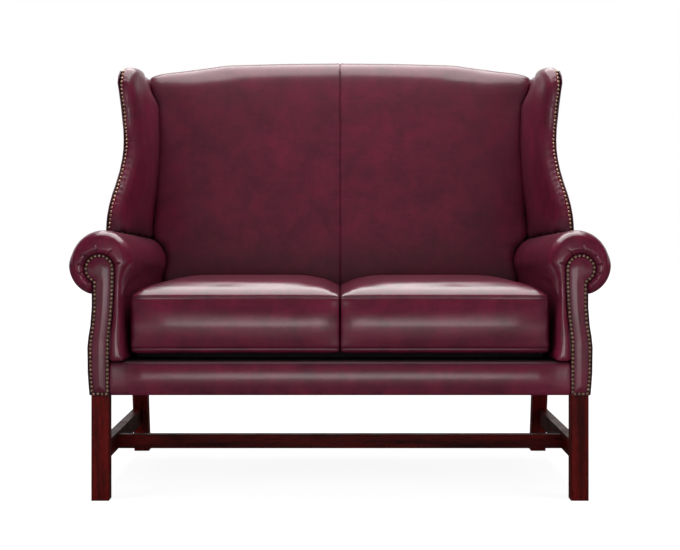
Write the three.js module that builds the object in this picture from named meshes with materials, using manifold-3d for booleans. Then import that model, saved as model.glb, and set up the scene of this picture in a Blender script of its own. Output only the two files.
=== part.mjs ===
// High back settee with padded wings, scroll arms and two loose seat cushions.
// Millimetres, +Z up, +Y to the back, left and right as seen from the front.

import * as THREE from 'three';
import { mergeVertices } from 'three/addons/utils/BufferGeometryUtils.js';
import Module from 'manifold-3d';

const wasm = await Module();
wasm.setup();

// Overall sizes. Depths are measured back from the front faces of the front legs.
const scrollSpan = 1370;            // over the two arm scrolls
const scrollOverhang = 55;          // each scroll stands out this far past the legs
const overallHeight = 1187;         // floor to the middle of the crest
const legSection = 44.5;            // square section of all four legs
const legChamfer = 1.5;             // small flat on each long edge
const undersideHeight = 267.5;      // floor to the lower edge of the leather
const clearance = 0.3;              // gap between a piece and the one that it is cut to
const overrun = 40;                 // how far a cutting form passes what it cuts
const cutSpare = 2;                 // a form's spare width where its neighbour cuts it

// Seat frame
const railLift = 7.5;               // rails start this far above the lower edge of the leather
const railHeight = 65;
const railThickness = 28;
const railSetback = 3;              // front rail behind the leg fronts
const postDepth = 696;              // leg fronts to the back posts, at the seat rails
const tenonLength = 14;
const tenonThickness = 10;
const tenonShoulder = 10;           // rail left above and below its tenon
const centreRailThickness = 30;
const centreRailDip = 18;           // hollow of the centre rail under the webbing
const blockReach = 90;              // corner block along each rail
const blockMargin = 12;             // corner block short of the rail's upper and lower edges

// Stretchers
const stretcherHeight = 86;         // floor to their lower edges
const sideStretcherHeight = 47;
const sideStretcherThickness = 25;
const crossStretcherHeight = 38;
const crossStretcherThickness = 24;
const crossStretcherDepth = 287;
const stretcherTenon = 12;
const stretcherTenonThickness = 9;

// Back frame
const footKick = 65;                // back foot stands this far behind the line of its post
const postLeanDepth = 79;           // back posts lean back this far up to their tops
const postTopThickness = 32;
const postStraight = 10;            // upright stretch of the post above the rails
const crestPadding = 35;            // padding over the crest rail
const crestRailEnd = 45;            // height of the crest rail at its ends, flat below and bowed above
const backBoardThickness = 25;
const lowerBackRailHeight = 40;
const lowerBackRailLift = 60;       // above the seat rails
const centreUprightWidth = 44;
const outsideBackThickness = 6;
const outsideBackGap = 1.2;         // outside back behind the posts at the seat rails
const outsideBackLeanDepth = 72;    // outside back leans back this far up to the crest

// Crest line and inside back
const crestDrop = 47;               // crest ends below the crest's middle
const crestDropShares = [[0, 0], [0.52, 0.064], [0.71, 0.277], [0.86, 0.638], [0.96, 0.936], [1, 1]];
const backJunctionInset = 29.5;     // inside back's sides inside the legs, just above the arms
const backWaistPinch = 15;          // narrower than that at half height
const backCreaseDepth = 12;         // inside back sinks this far where it meets a wing
const crestCreaseShare = 0.004;     // and dips by this share of its height on the crest there
const backSeamDepth = 4;            // and sinks this far at the middle seam
const backPadding = 140;            // inside back in front of the posts at the seat
const backSurfaceLeanDepth = 150;   // how far it leans back up to the crest
const backSurfaceShares = [[0, 0.02], [0.12, 0], [0.235, 0.03], [0.36, 0.2], [0.5, 0.4],
  [0.69, 0.64], [0.84, 0.83], [0.92, 0.94], [0.955, 1]];
const crestRollShares = [[0.955, 0], [0.978, 0.06], [0.994, 0.2], [1, 0.42], [0.998, 0.66], [0.986, 0.9],
  [0.968, 1]];

// Arms. The scroll is the rolled head of the arm at the front.
const armHeight = 686;              // floor to the top of the scroll
const scrollRadius = 84;
const rollInnerReach = 74;          // scroll centre to the inner side of the roll
const rollBackDrop = 29;            // roll centre sinks this far to the back
const rollBackShift = 18;           // and moves inwards this far
const rollBackOuterReach = 66;      // roll centre to its outer side at the back
const rollBackInnerReach = 80;
const rollBackRise = 78;            // roll centre to its top at the back
const rollUndersideDrop = 75;       // scroll centre to the flat under the roll
const rollUndersideShift = 27;
const rollUndersideBackShare = 0.9; // of that shift is left at the back
const rollSweepShare = 0.68;        // of a full turn that the roll goes round
const armToeLift = 1.7;             // the inside arm lands this far above the deck
const armFaceShares = [[0, 0], [0.18, 0.62], [0.4, 0.8], [0.65, 1], [0.8, 0.85], [0.9, 0.4]];
const armFaceSwell = 12;            // inside arm hollows this far from its toe
const armToeInset = 44.5;           // toe inside the legs' inner faces at the front
const armToeBackTaper = 41;         // and how far it moves inwards to the back
const armCoreInset = 2;             // inner limit of the arm frame inside those faces
const frontLip = 15;                // arm lips stand proud of the leg fronts
const frontLipDepth = 34;           // and round off back to this depth
const frontLipRounding = 26;        // over this much of the roll
const frontLipToeShare = 0.45;      // and this share of it at the toe
const frontLipShares = [[0, 1], [0.04, 0.72], [0.15, 0.45], [0.35, 0.22], [0.62, 0.07], [1, 0]];

// Arm facing: a board with a round head, upholstered and edged with nails
const facingThickness = 8.7;
const facingHeadRadius = 38;
const facingHeadShift = 8;          // head centre outside the scroll centre
const facingHeadDrop = 14;          // and below it
const facingFootInset = 2;          // inner edge inside the legs' inner faces at the foot
const facingInnerReach = 37;        // head centre to the inner edge below the head
const facingInnerShares = [[0, 0], [0.43, 0], [0.49, 0.21], [0.58, 0.5], [0.635, 0.67], [0.73, 0.83],
  [0.83, 1]];
const facingOuterReach = 15.5;      // head centre to the outer edge below the head
const facingOuterSwell = 11;
const facingPanelMargin = 4.5;      // outside panel stands out this far past the facing
const facingOuterShares = [[0, 0.5], [0.06, 0.67], [0.18, 0.92], [0.28, 0.95], [0.376, 1], [0.463, 0.75],
  [0.548, 0.33], [0.694, 0], [0.83, 0]];
const stumpThickness = 28;
const stumpInset = 6;               // stump inside the facing's edge
const armRailWidth = 50;
const armRailThickness = 22;
const armRailDrop = 8;              // arm rail below the roll's centre
const tackRailHeight = 25;
const tackRailThickness = 22;
const tackRailLift = 40;            // above the seat rails
const tackRailInset = 18;           // inside the outer faces of the legs
const sidePanelThickness = 3.5;

// Wings. Shares run up the front edge: height, depth, pinch.
const wingFootDrop = 3;             // below the top of the scroll
const wingEdgeDrop = 13;            // edge's last point below the ends of the crest
const wingFrontDepth = 250;
const wingSweep = 110;
const wingOverhang = 4.8;           // outside the legs
const wingPinch = 32.7;
const wingEdgeShares = [[0, 0, 0], [0.067, 0.073, 0.015], [0.174, 0.227, 0.2], [0.293, 0.5, 0.59],
  [0.424, 0.773, 0.917], [0.525, 0.927, 1], [0.626, 1, 0.939], [0.844, 0.909, 0.645],
  [0.935, 0.927, 0.465], [1, 1.136, 0.593]];
const wingLevels = 15;
const wingSink = 83;                // wing forms start this far below their foot, inside the roll
const wingRollRadius = 15;          // padded front edge, on its outer side
const wingRollReach = 37;           // edge's crest to its inner side
const wingRollDepth = 75;           // and how far back that side rounds off
const wingPanelSetback = 8;         // outside panel behind the front edge
const wingFaceSwell = 5;
const wingFaceShares = [0.25, 0.5, 0.75];
const wingTopRise = 19;             // padding above the edge's last point
const wingTopFall = 11;             // and lower than that at the front edge
const wingTopLevelDepth = 150;      // the top levels out this far behind the front edge
const wingTopShares = [[0.45, 0.2], [0.8, 0.5], [1, 1]];
const wingTopInset = 13;
const wingBoardThickness = 22;
const wingPostInset = 39;           // inner face of the wing post inside the wing's outer edge
const wingRailLanding = 10;         // wing top rail meets the back post this far from its inner side
const wingPostSetback = 30;         // post behind the padded edge
const wingPostWidth = 42;
const wingTopRailHeight = 42;

// Webbing, deck, covers
const webbingThickness = 2;
const webbingLap = 1;               // a crossing strap lies this far above the other
const webbingWidth = 50;
const seatStrapCount = 9;
const seatStrapPitch = 120;
const crossStrapCount = 4;
const crossStrapPitch = 140;
const crossStrapFirst = 130;
const backStrapCount = 8;
const backStrapPitch = 130;
const backCrossCount = 3;
const backCrossPitch = 130;
const backCrossLift = 24;           // first crosswise strap above the arms
const backTackReach = 15;           // crosswise straps lap this far over the back posts
const deckThickness = 10;
const deckPadThickness = 16.4;
const deckPadInset = 6;
const deckPadFront = 95;
const railCoverDepth = 8;           // padded leather in front of the leg fronts
const railCoverReturn = 21;         // leather turned under the rail
const railCoverShares = [[0, 0.2], [0.03, 0.5], [0.1, 0.75], [0.25, 0.93], [0.5, 1], [0.75, 0.93],
  [0.9, 0.75], [0.97, 0.5], [1, 0.2]];
const dustCoverThickness = 2.2;

// Seat cushions
const cushionFront = 20;
const cushionBackGap = 2;           // in front of the inside back
const cushionSideGap = 1;           // inside the arm's toe at the front
const cushionTaper = 33;            // and how far the side moves inwards to the back
const cushionGap = 1.2;             // between the two cushions
const cushionHeight = 144;          // underside to the top edge
const cushionCrown = 36;
const cushionUnderInset = 10;
const cushionWeltLift = 14;
const cushionBorderSwell = 3;
const cushionCornerShare = 0.008;   // corners of the plan are drawn in by this share of the half width
const cushionCornerPower = 14;      // and the higher this is, the tighter
const cushionCrownCornerShare = 0.2;
const cushionCrownCornerPower = 3;
const cushionSideSteps = 12;
const cushionCrownShares = [[0.985, 0.14], [0.95, 0.39], [0.9, 0.61], [0.83, 0.79], [0.71, 0.92],
  [0.5, 0.985], [0.25, 1]];

// Worked-out places
const legOuter = scrollSpan / 2 - scrollOverhang;
const legInner = legOuter - legSection;
const railBottom = undersideHeight + railLift;
const railTop = railBottom + railHeight;
const sideRailInner = legInner + (legSection - railThickness) / 2;
const straightTop = railTop + postStraight;
const crestEndHeight = overallHeight - crestDrop;
const backHalfWidth = legInner - backJunctionInset;
const backSurfaceDepth = postDepth - backPadding;
const postTop = crestEndHeight - crestPadding;
const outsideBackFoot = postDepth + legSection + outsideBackGap + outsideBackThickness;
const scrollX = scrollSpan / 2 - scrollRadius;
const scrollZ = armHeight - scrollRadius;
const headX = scrollX + facingHeadShift;
const headZ = scrollZ - facingHeadDrop;
const facingInnerLower = legInner - facingFootInset;
const facingInnerUpper = headX - facingInnerReach;
const facingOuterUpper = headX + facingOuterReach;
const armToeInner = legInner - armToeInset;
const armCoreInner = legInner - armCoreInset;
const wingFootHeight = armHeight - wingFootDrop;
const wingEdgeTop = crestEndHeight - wingEdgeDrop;
const webbingStack = webbingThickness + webbingLap;
const webbingReach = webbingStack + 2 * clearance;
const deckBottom = railTop + webbingStack + clearance;
const deckTop = deckBottom + deckThickness;
const armToeHeight = deckTop + armToeLift;
const deckPadTop = deckTop + clearance + deckPadThickness;
const lerp = THREE.MathUtils.lerp;

// Small shaping tools

// Reads a table of [share, value share] pairs at any share between them.
function shareAt(shares, share) {
  const last = shares.length - 1;
  const found = shares.findIndex(([place]) => place >= share);
  if (found === 0) return shares[0][1];
  if (found < 0) return shares[last][1];
  const [lowPlace, low] = shares[found - 1];
  const [highPlace, high] = shares[found];
  return lerp(low, high, (share - lowPlace) / (highPlace - lowPlace));
}

// Splits a ring into triangles, seen along the axis that it faces most.
function capFaces(ring) {
  const normal = new THREE.Vector3();
  ring.forEach((point, i) => normal.add(point.clone().cross(ring[(i + 1) % ring.length])));
  const size = normal.clone().set(Math.abs(normal.x), Math.abs(normal.y), Math.abs(normal.z));
  const facesX = size.x >= size.y && size.x >= size.z;
  const facesY = !facesX && size.y >= size.z;
  const flat = ring.map((p) => {
    if (facesX) return new THREE.Vector2(p.y, p.z);
    return facesY ? new THREE.Vector2(p.z, p.x) : new THREE.Vector2(p.x, p.y);
  });
  const turns = Math.sign(THREE.ShapeUtils.area(flat));
  return THREE.ShapeUtils.triangulateShape(flat, []).map(([a, b, c]) => {
    const turn = Math.sign(THREE.ShapeUtils.area([flat[a], flat[b], flat[c]]));
    return turn === turns ? [a, b, c] : [a, c, b];
  });
}

// Turns a closed geometry's faces outwards.
function facingOut(geometry) {
  const place = geometry.getAttribute('position');
  const index = geometry.getIndex();
  const [a, b, c] = [new THREE.Vector3(), new THREE.Vector3(), new THREE.Vector3()];
  let volume = 0;
  for (let i = 0; i < index.count; i += 3) {
    a.fromBufferAttribute(place, index.getX(i));
    b.fromBufferAttribute(place, index.getX(i + 1));
    c.fromBufferAttribute(place, index.getX(i + 2));
    volume += a.dot(b.cross(c));
  }
  if (volume < 0) index.array.reverse();
  return geometry;
}

// Closed body through rings of equally many points.
function loft(rings) {
  const count = rings[0].length;
  const indices = [];
  for (let start = 0; start < (rings.length - 1) * count; start += count) {
    for (let i = 0; i < count; i += 1) {
      const a = start + i;
      const b = start + ((i + 1) % count);
      indices.push(a, b, a + count, b, b + count, a + count);
    }
  }
  const end = (rings.length - 1) * count;
  capFaces(rings[0]).forEach(([a, b, c]) => indices.push(a, c, b));
  capFaces(rings.at(-1)).forEach(([a, b, c]) => indices.push(a + end, b + end, c + end));
  const geometry = new THREE.BufferGeometry().setFromPoints(rings.flat());
  geometry.setIndex(new THREE.BufferAttribute(new Uint32Array(indices), 1));
  return facingOut(geometry);
}

// Merged, indexed copy with positions only.
function bare(geometry) {
  const copy = geometry.clone();
  copy.deleteAttribute('normal');
  copy.deleteAttribute('uv');
  return mergeVertices(copy);
}

function toSolid(geometry) {
  const merged = bare(geometry);
  return new wasm.Manifold(new wasm.Mesh({
    numProp: 3,
    vertProperties: new Float32Array(merged.getAttribute('position').array),
    triVerts: new Uint32Array(merged.getIndex().array),
  }));
}

function toGeometry(solid) {
  const mesh = solid.getMesh();
  const geometry = new THREE.BufferGeometry();
  geometry.setAttribute('position', new THREE.BufferAttribute(mesh.vertProperties, 3));
  geometry.setIndex(new THREE.BufferAttribute(mesh.triVerts, 1));
  return geometry;
}

function cut(geometry, ...tools) {
  return toGeometry(tools.reduce((solid, tool) => solid.subtract(toSolid(tool)), toSolid(geometry)));
}

function join(geometry, ...others) {
  return toGeometry(others.reduce((solid, other) => solid.add(toSolid(other)), toSolid(geometry)));
}

// Box between two corners.
function block([x0, y0, z0], [x1, y1, z1]) {
  const geometry = new THREE.BoxGeometry(x1 - x0, y1 - y0, z1 - z0);
  return geometry.translate((x0 + x1) / 2, (y0 + y1) / 2, (z0 + z1) / 2);
}

function extruded(points, length) {
  const shape = new THREE.Shape(points.map(([u, v]) => new THREE.Vector2(u, v)));
  return new THREE.ExtrudeGeometry(shape, { depth: length, bevelEnabled: false });
}

// Outline of [y, z] points, cut through from x0 to x1.
function sawnAcross(points, x0, x1) {
  const turn = new THREE.Matrix4().makeBasis(
    new THREE.Vector3(0, 1, 0), new THREE.Vector3(0, 0, 1), new THREE.Vector3(1, 0, 0));
  return extruded(points, x1 - x0).applyMatrix4(turn).translate(x0, 0, 0);
}

// Outline of [x, z] points, cut through from y0 back to y1.
function sawnDeep(points, y0, y1) {
  const turn = new THREE.Matrix4().makeBasis(
    new THREE.Vector3(1, 0, 0), new THREE.Vector3(0, 0, 1), new THREE.Vector3(0, -1, 0));
  return extruded(points, y1 - y0).applyMatrix4(turn).translate(0, y1, 0);
}

// Outline of [x, y] points, cut through from z0 up to z1.
function sawnUp(points, z0, z1) {
  return extruded(points, z1 - z0).translate(0, 0, z0);
}

function mirrored(geometry) {
  const copy = bare(geometry).scale(-1, 1, 1);
  return facingOut(copy);
}

// Finishes, one material for each piece
const finish = (color, roughness, metalness = 0) =>
  () => new THREE.MeshStandardMaterial({ color, roughness, metalness });
const mahogany = finish(0x400c0a, 0.35);
const beech = finish(0xc9a77a, 0.7);
const leather = finish(0x5a1c30, 0.4);
const webbing = finish(0x6b5a45, 0.9);
const deckCloth = finish(0x1c1416, 0.95);
const felt = finish(0x3a3235, 0.95);

const settee = new THREE.Group();

function piece(name, geometry, material, place = new THREE.Vector3()) {
  const mesh = new THREE.Mesh(bare(geometry), material());
  mesh.name = name;
  mesh.geometry.computeVertexNormals();
  mesh.position.copy(place);
  settee.add(mesh);
}

// One piece on the right and its mirror image on the left.
function pair(name, geometry, material, place = new THREE.Vector3()) {
  piece(`${name}_right`, geometry, material, place);
  piece(`${name}_left`, mirrored(geometry), material, place.clone().setX(-place.x));
}

// Back profile: post faces, outside back and inside back at a height

function postFront(z) {
  const leaning = Math.max(z - straightTop, 0) / (postTop - straightTop);
  return postDepth + postLeanDepth * leaning;
}

function outsideBack(z) {
  const share = (z - undersideHeight) / (overallHeight - undersideHeight);
  return outsideBackFoot + outsideBackLeanDepth * share;
}

// Everything behind the front of the outside back.
function behindBack() {
  const top = overallHeight + overrun;
  const far = outsideBackFoot + outsideBackLeanDepth + 2 * overrun;
  const face = (z) => outsideBack(z) - outsideBackThickness - clearance;
  return sawnAcross([[face(0), 0], [far, 0], [far, top], [face(top), top]], -scrollSpan, scrollSpan);
}

function crestHeight(x) {
  return overallHeight - crestDrop * shareAt(crestDropShares, Math.abs(x) / legInner);
}

// Legs, posts and stretchers

const sideStretcherTop = stretcherHeight + sideStretcherHeight;
const footSlope = footKick / undersideHeight;
const footFront = (z) => postDepth + footKick - footSlope * z;
const tenonLow = railBottom + tenonShoulder;
const tenonHigh = railTop - tenonShoulder;

// Tenon or, grown by the clearance, its mortise.
function railTenon(x, y, alongX, grow) {
  const half = tenonThickness / 2 + grow;
  const reach = tenonLength + grow;
  const low = [x - (alongX ? reach : half), y - (alongX ? half : reach), tenonLow - grow];
  const high = [x + (alongX ? reach : half), y + (alongX ? half : reach), tenonHigh + grow];
  return block(low, high);
}

const frontRailY = railSetback + railThickness / 2;
const backRailY = postDepth + legSection / 2;
const sideRailX = sideRailInner + railThickness / 2;
const stretcherX = legOuter - sideStretcherThickness / 2;

function stretcherTenonBlock(grow) {
  const half = stretcherTenonThickness / 2 + grow;
  const low = stretcherHeight + stretcherTenonThickness - grow;
  const high = sideStretcherTop - stretcherTenonThickness + grow;
  const front = legSection - stretcherTenon - grow;
  const back = footFront(sideStretcherTop) + stretcherTenon + grow;
  return block([stretcherX - half, front, low], [stretcherX + half, back, high]);
}

function frontLeg() {
  const c = legChamfer;
  const s = legSection;
  const corners = [[c, 0], [s - c, 0], [s, c], [s, s - c], [s - c, s], [c, s], [0, s - c], [0, c]];
  const bar = extruded(corners, railTop).translate(legInner, 0, 0);
  return cut(bar, railTenon(legInner, frontRailY, true, clearance),
    railTenon(sideRailX, legSection, false, clearance), stretcherTenonBlock(clearance));
}

// One sawn plank: raked foot, upright joint at the seat rails, post leaning back above.
function backPost() {
  const rear = (z) => postDepth + footKick + legSection - footSlope * z;
  const topRear = postFront(postTop) + postTopThickness;
  const profile = [[footFront(0), 0], [rear(0), 0], [rear(undersideHeight), undersideHeight],
    [postDepth + legSection, straightTop], [topRear, postTop], [postFront(postTop), postTop],
    [postDepth, straightTop], [postDepth, undersideHeight]];
  return cut(sawnAcross(profile, legInner, legOuter), railTenon(legInner, backRailY, true, clearance),
    railTenon(sideRailX, postDepth, false, clearance), stretcherTenonBlock(clearance));
}

function sideStretcher() {
  const profile = [[legSection, stretcherHeight], [footFront(stretcherHeight), stretcherHeight],
    [footFront(sideStretcherTop), sideStretcherTop], [legSection, sideStretcherTop]];
  const inner = legOuter - sideStretcherThickness;
  const bar = join(sawnAcross(profile, inner, legOuter), stretcherTenonBlock(0));
  return cut(bar, crossTenon(clearance));
}

function crossTenon(grow) {
  const inner = legOuter - sideStretcherThickness;
  const y = crossStretcherDepth + crossStretcherThickness / 2;
  const half = stretcherTenonThickness / 2 + grow;
  const low = stretcherHeight + stretcherTenonThickness - grow;
  const high = stretcherHeight + crossStretcherHeight - stretcherTenonThickness + grow;
  return block([inner - overrun, y - half, low], [inner + stretcherTenon + grow, y + half, high]);
}

function crossStretcher() {
  const inner = legOuter - sideStretcherThickness;
  const back = crossStretcherDepth + crossStretcherThickness;
  const bar = block([-inner, crossStretcherDepth, stretcherHeight],
    [inner, back, stretcherHeight + crossStretcherHeight]);
  return join(bar, crossTenon(0), mirrored(crossTenon(0)));
}

pair('front_leg', frontLeg(), mahogany);
pair('back_post', backPost(), mahogany);
pair('side_stretcher', sideStretcher(), mahogany);
piece('cross_stretcher', crossStretcher(), mahogany);

// Seat frame

// Rail between the legs, with a tenon at each end.
function crossRail(y) {
  const half = railThickness / 2;
  const bar = block([-legInner, y - half, railBottom], [legInner, y + half, railTop]);
  const tenon = railTenon(legInner, y, true, 0);
  return join(bar, tenon, mirrored(tenon));
}

function sideRail() {
  const bar = block([sideRailInner, legSection, railBottom],
    [sideRailInner + railThickness, postDepth, railTop]);
  return join(bar, railTenon(sideRailX, legSection, false, 0), railTenon(sideRailX, postDepth, false, 0));
}

// Brace from the front rail to the back rail, hollowed along its top under the webbing.
function centreRail() {
  const front = frontRailY + railThickness / 2;
  const back = backRailY - railThickness / 2;
  const dip = new THREE.QuadraticBezierCurve(
    new THREE.Vector2(back, railTop - clearance),
    new THREE.Vector2((front + back) / 2, railTop - 2 * centreRailDip),
    new THREE.Vector2(front, railTop - clearance));
  const steps = 10;
  const top = dip.getPoints(steps).map((point) => [point.x, point.y]);
  const half = centreRailThickness / 2;
  return sawnAcross([[front, railBottom], [back, railBottom], ...top], -half, half);
}

// Notched corner block between a cross rail and a side rail, round the leg.
function cornerBlock(railFace, legFace, inwards) {
  const legSide = legInner - clearance;
  const railSide = sideRailInner - clearance;
  const face = railFace + inwards * clearance;
  const notch = legFace + inwards * clearance;
  const points = [[legSide - blockReach, face], [legSide, face], [legSide, notch], [railSide, notch],
    [railSide, notch + inwards * blockReach]];
  const outline = inwards > 0 ? points : points.reverse();
  return sawnUp(outline, railBottom + blockMargin, railTop - blockMargin);
}

piece('front_seat_rail', crossRail(frontRailY), beech);
piece('back_seat_rail', crossRail(backRailY), beech);
pair('side_seat_rail', sideRail(), beech);
piece('centre_seat_rail', centreRail(), beech);
pair('front_corner_block', cornerBlock(frontRailY + railThickness / 2, legSection, 1), beech);
pair('back_corner_block', cornerBlock(backRailY - railThickness / 2, postDepth, -1), beech);

// Arm forms

const rollLength = outsideBack(armHeight);

// Outline of the facing, larger all round by grow, and cut off at the height bottom.
function facingOutline(grow, bottom) {
  const rise = headZ - undersideHeight;
  const floor = (bottom - undersideHeight) / rise;
  const radius = facingHeadRadius + grow;
  const outerX = (share) => facingOuterUpper + facingOuterSwell * shareAt(facingOuterShares, share) + grow;
  const innerX = (share) =>
    lerp(facingInnerLower, facingInnerUpper, shareAt(facingInnerShares, share)) - grow;
  const levels = (shares) => [floor, ...shares.map(([share]) => share).filter((s) => s > floor)];
  const outer = levels(facingOuterShares).map((s) => [outerX(s), undersideHeight + rise * s]);
  const inner = levels(facingInnerShares).map((s) => [innerX(s), undersideHeight + rise * s]).reverse();
  const start = Math.acos((outerX(1) - headX) / radius);
  const sweep = Math.PI + start;
  const steps = 14;
  const head = [];
  for (let i = 0; i <= steps; i += 1) {
    const angle = -start + (sweep * i) / steps;
    head.push([headX + radius * Math.cos(angle), headZ + radius * Math.sin(angle)]);
  }
  return [...outer.filter(([, z]) => z < head[0][1] - clearance), ...head, ...inner];
}

// Section of the arm, front to back by share, larger all round by grow. The lip draws it in.
function armSection(share, grow, lip = 0) {
  const centreX = scrollX - rollBackShift * share;
  const centreZ = scrollZ - rollBackDrop * share;
  const outer = lerp(scrollRadius, rollBackOuterReach, share) + grow - lip;
  const inner = lerp(rollInnerReach, rollBackInnerReach, share) + grow - lip;
  const rise = lerp(scrollRadius, rollBackRise, share) + grow - lip;
  const undersideX = centreX + rollUndersideShift * lerp(1, rollUndersideBackShare, share);
  const undersideZ = centreZ - rollUndersideDrop - grow + lip;
  const toe = armToeInner - armToeBackTaper * share - grow + frontLipToeShare * lip;
  const bottom = armToeHeight - Math.max(grow, 0);
  const face = armFaceShares.map(([height, swell]) =>
    [toe + armFaceSwell * swell, lerp(bottom, centreZ, height)]);
  const roll = [];
  const steps = 16;
  for (let i = 0; i <= steps; i += 1) {
    const angle = Math.PI - (2 * Math.PI * rollSweepShare * i) / steps;
    const reach = Math.cos(angle) < 0 ? inner : outer;
    roll.push([centreX + reach * Math.cos(angle), centreZ + rise * Math.sin(angle)]);
  }
  return [...face, ...roll, [undersideX, undersideZ], [armCoreInner, undersideZ], [armCoreInner, bottom]];
}

const ringAtDepth = (outline, y) => outline.map(([x, z]) => new THREE.Vector3(x, y, z));

// Whole arm as one form, with its rounded front lip.
function armForm(grow) {
  const lip = frontLipShares.map(([back, inset]) => {
    const section = armSection(0, grow, frontLipRounding * inset);
    return ringAtDepth(section, frontLipDepth * back - frontLip - Math.max(grow, 0));
  });
  const steps = 5;
  const body = [];
  for (let i = 1; i <= steps; i += 1) {
    const share = i / steps;
    body.push(ringAtDepth(armSection(share, grow), (rollLength + grow) * share));
  }
  return loft([...lip, ...body]);
}

// Board inside the roll, from the stump to the back post.
function armRail(grow) {
  const half = armRailWidth / 2 + grow;
  const low = armRailDrop + armRailThickness / 2 + grow;
  const high = low - armRailThickness - 2 * grow;
  const ring = (y) => {
    const share = y / rollLength;
    const x = scrollX - rollBackShift * share;
    const z = scrollZ - rollBackDrop * share;
    return [[x - half, z - low], [x + half, z - low], [x + half, z - high], [x - half, z - high]]
      .map(([u, v]) => new THREE.Vector3(u, y, v));
  };
  return [ring, scrollZ - rollBackDrop];
}

function armRailBoard() {
  const [ring, z] = armRail(0);
  return loft([ring(stumpThickness), ring(postFront(z - armRailThickness) - clearance)]);
}

function armRailChannel() {
  const [ring] = armRail(clearance);
  return loft([ring(0), ring(rollLength + overrun)]);
}

// Wing forms

const wingEdge = new THREE.CatmullRomCurve3(
  wingEdgeShares.map(([height, depth, pinch]) => new THREE.Vector3(height, depth, pinch)))
  .getPoints(wingLevels)
  .map(({ x: height, y: depth, z: pinch }) => ({
    z: lerp(wingFootHeight, wingEdgeTop, height),
    y: wingFrontDepth + wingSweep * depth,
    x: legOuter + wingOverhang - wingPinch * pinch,
  }));
const wingFoot = { ...wingEdge[0], z: wingFootHeight - wingSink };
const wingRows = [wingFoot, ...wingEdge];
const outerEdge = legOuter + clearance + sidePanelThickness;

// Half width of the inside back at a height.
function junctionX(z) {
  const share = THREE.MathUtils.clamp((z - armHeight) / (crestEndHeight - armHeight), 0, 1);
  return backHalfWidth - backWaistPinch * Math.sin(Math.PI * share);
}

function insideBackY(z, crest) {
  const share = (z - armToeHeight) / (crest - armToeHeight);
  return backSurfaceDepth + backSurfaceLeanDepth * shareAt(backSurfaceShares, share);
}

// Side surface of the wing, from its front edge out to the back post and flat over the post.
function wingSideX(row, y) {
  const share = (y - row.y) / (postFront(row.z) - clearance - row.y);
  return lerp(row.x, outerEdge, THREE.MathUtils.clamp(share, 0, 1));
}

// Plan of the padded wing at one row, drawn in by inset at the top and sloping forward there by fall.
function wingPlan(row, inset, fall = 0) {
  const skin = sidePanelThickness + clearance;
  const rear = outsideBack(row.z) - inset;
  const sideBack = wingSideX(row, rear) - skin - inset;
  const crestX = wingSideX(row, row.y + wingRollRadius) - skin - wingRollRadius;
  const points = [[junctionX(row.z), rear], [sideBack, rear], [sideBack, postFront(row.z) - clearance]];
  const steps = 8;
  for (let i = 0; i <= steps; i += 1) {
    const angle = (Math.PI * i) / steps;
    const outwards = i < steps / 2;
    const reach = (outwards ? wingRollRadius : wingRollReach) - inset;
    const deep = outwards ? wingRollRadius : wingRollDepth;
    points.push([crestX + reach * Math.cos(angle), row.y + deep - (deep - inset) * Math.sin(angle)]);
  }
  const [faceX, faceY] = points.at(-1);
  const joint = insideBackY(row.z, crestEndHeight) + backCreaseDepth;
  wingFaceShares.forEach((share) => {
    const swell = wingFaceSwell * Math.sin(Math.PI * share);
    points.push([lerp(faceX, junctionX(row.z), share) - swell, lerp(faceY, joint, share)]);
  });
  points.push([junctionX(row.z), joint]);
  const drop = (y) => fall * THREE.MathUtils.clamp(1 - (y - row.y) / wingTopLevelDepth, 0, 1);
  return points.map(([x, y]) => new THREE.Vector3(x, y, row.z - drop(y)));
}

function wingForm() {
  const rings = wingRows.map((row) => wingPlan(row, 0));
  const last = wingEdge.at(-1);
  wingTopShares.forEach(([rise, inset]) => {
    const row = { ...last, z: last.z + wingTopRise * rise };
    rings.push(wingPlan(row, wingTopInset * inset, wingTopFall * rise));
  });
  return loft(rings);
}

function wingPanel() {
  const plan = (row) => {
    const front = row.y + wingPanelSetback;
    const rear = outsideBack(row.z) - outsideBackThickness - clearance;
    const depths = [front, postFront(row.z) - clearance, rear];
    const outer = depths.map((y) => [wingSideX(row, y), y]);
    const inner = depths.map((y) => [wingSideX(row, y) - sidePanelThickness, y]).reverse();
    return [...outer, ...inner].map(([x, y]) => new THREE.Vector3(x, y, row.z));
  };
  return loft(wingRows.map(plan));
}

const armRailTopAt = (y) =>
  scrollZ - rollBackDrop * (y / rollLength) - armRailDrop + armRailThickness / 2;
const wingRailTop = postTop - clearance;
const wingRailBottom = wingRailTop - wingTopRailHeight;

// Wing edge at any height, between the rows.
function wingEdgeAt(z) {
  const after = wingEdge.findIndex((row) => row.z >= z);
  if (after === 0) return { ...wingEdge[0], z };
  const [low, high] = [wingEdge[after - 1], wingEdge[after]];
  const share = (z - low.z) / (high.z - low.z);
  return { x: lerp(low.x, high.x, share), y: lerp(low.y, high.y, share), z };
}

const wingPostFoot = armRailTopAt(wingFrontDepth + wingPostSetback) + clearance;
const wingPostRows = [{ ...wingEdge[0], z: wingPostFoot }, ...wingEdge.filter((row) => row.z < wingRailTop),
  wingEdgeAt(wingRailTop)];

// S-shaped upright that stands on the arm rail and flares with the padded edge. Its recess is larger by
// grow, and reaches outwards.
function wingPost(grow, outwards = 0) {
  const rows = wingPostRows.map((row, i) => {
    const last = i === wingPostRows.length - 1;
    const inner = row.x - wingPostInset - grow;
    const outer = inner + wingBoardThickness + 2 * grow + outwards;
    const [front, back] = [row.y + wingPostSetback - grow, row.y + wingPostSetback + wingPostWidth + grow];
    const z = row.z + (last ? grow : 0);
    return [[inner, front], [outer, front], [outer, back], [inner, back]]
      .map(([x, y]) => new THREE.Vector3(x, y, z));
  });
  return loft(rows);
}

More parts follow.
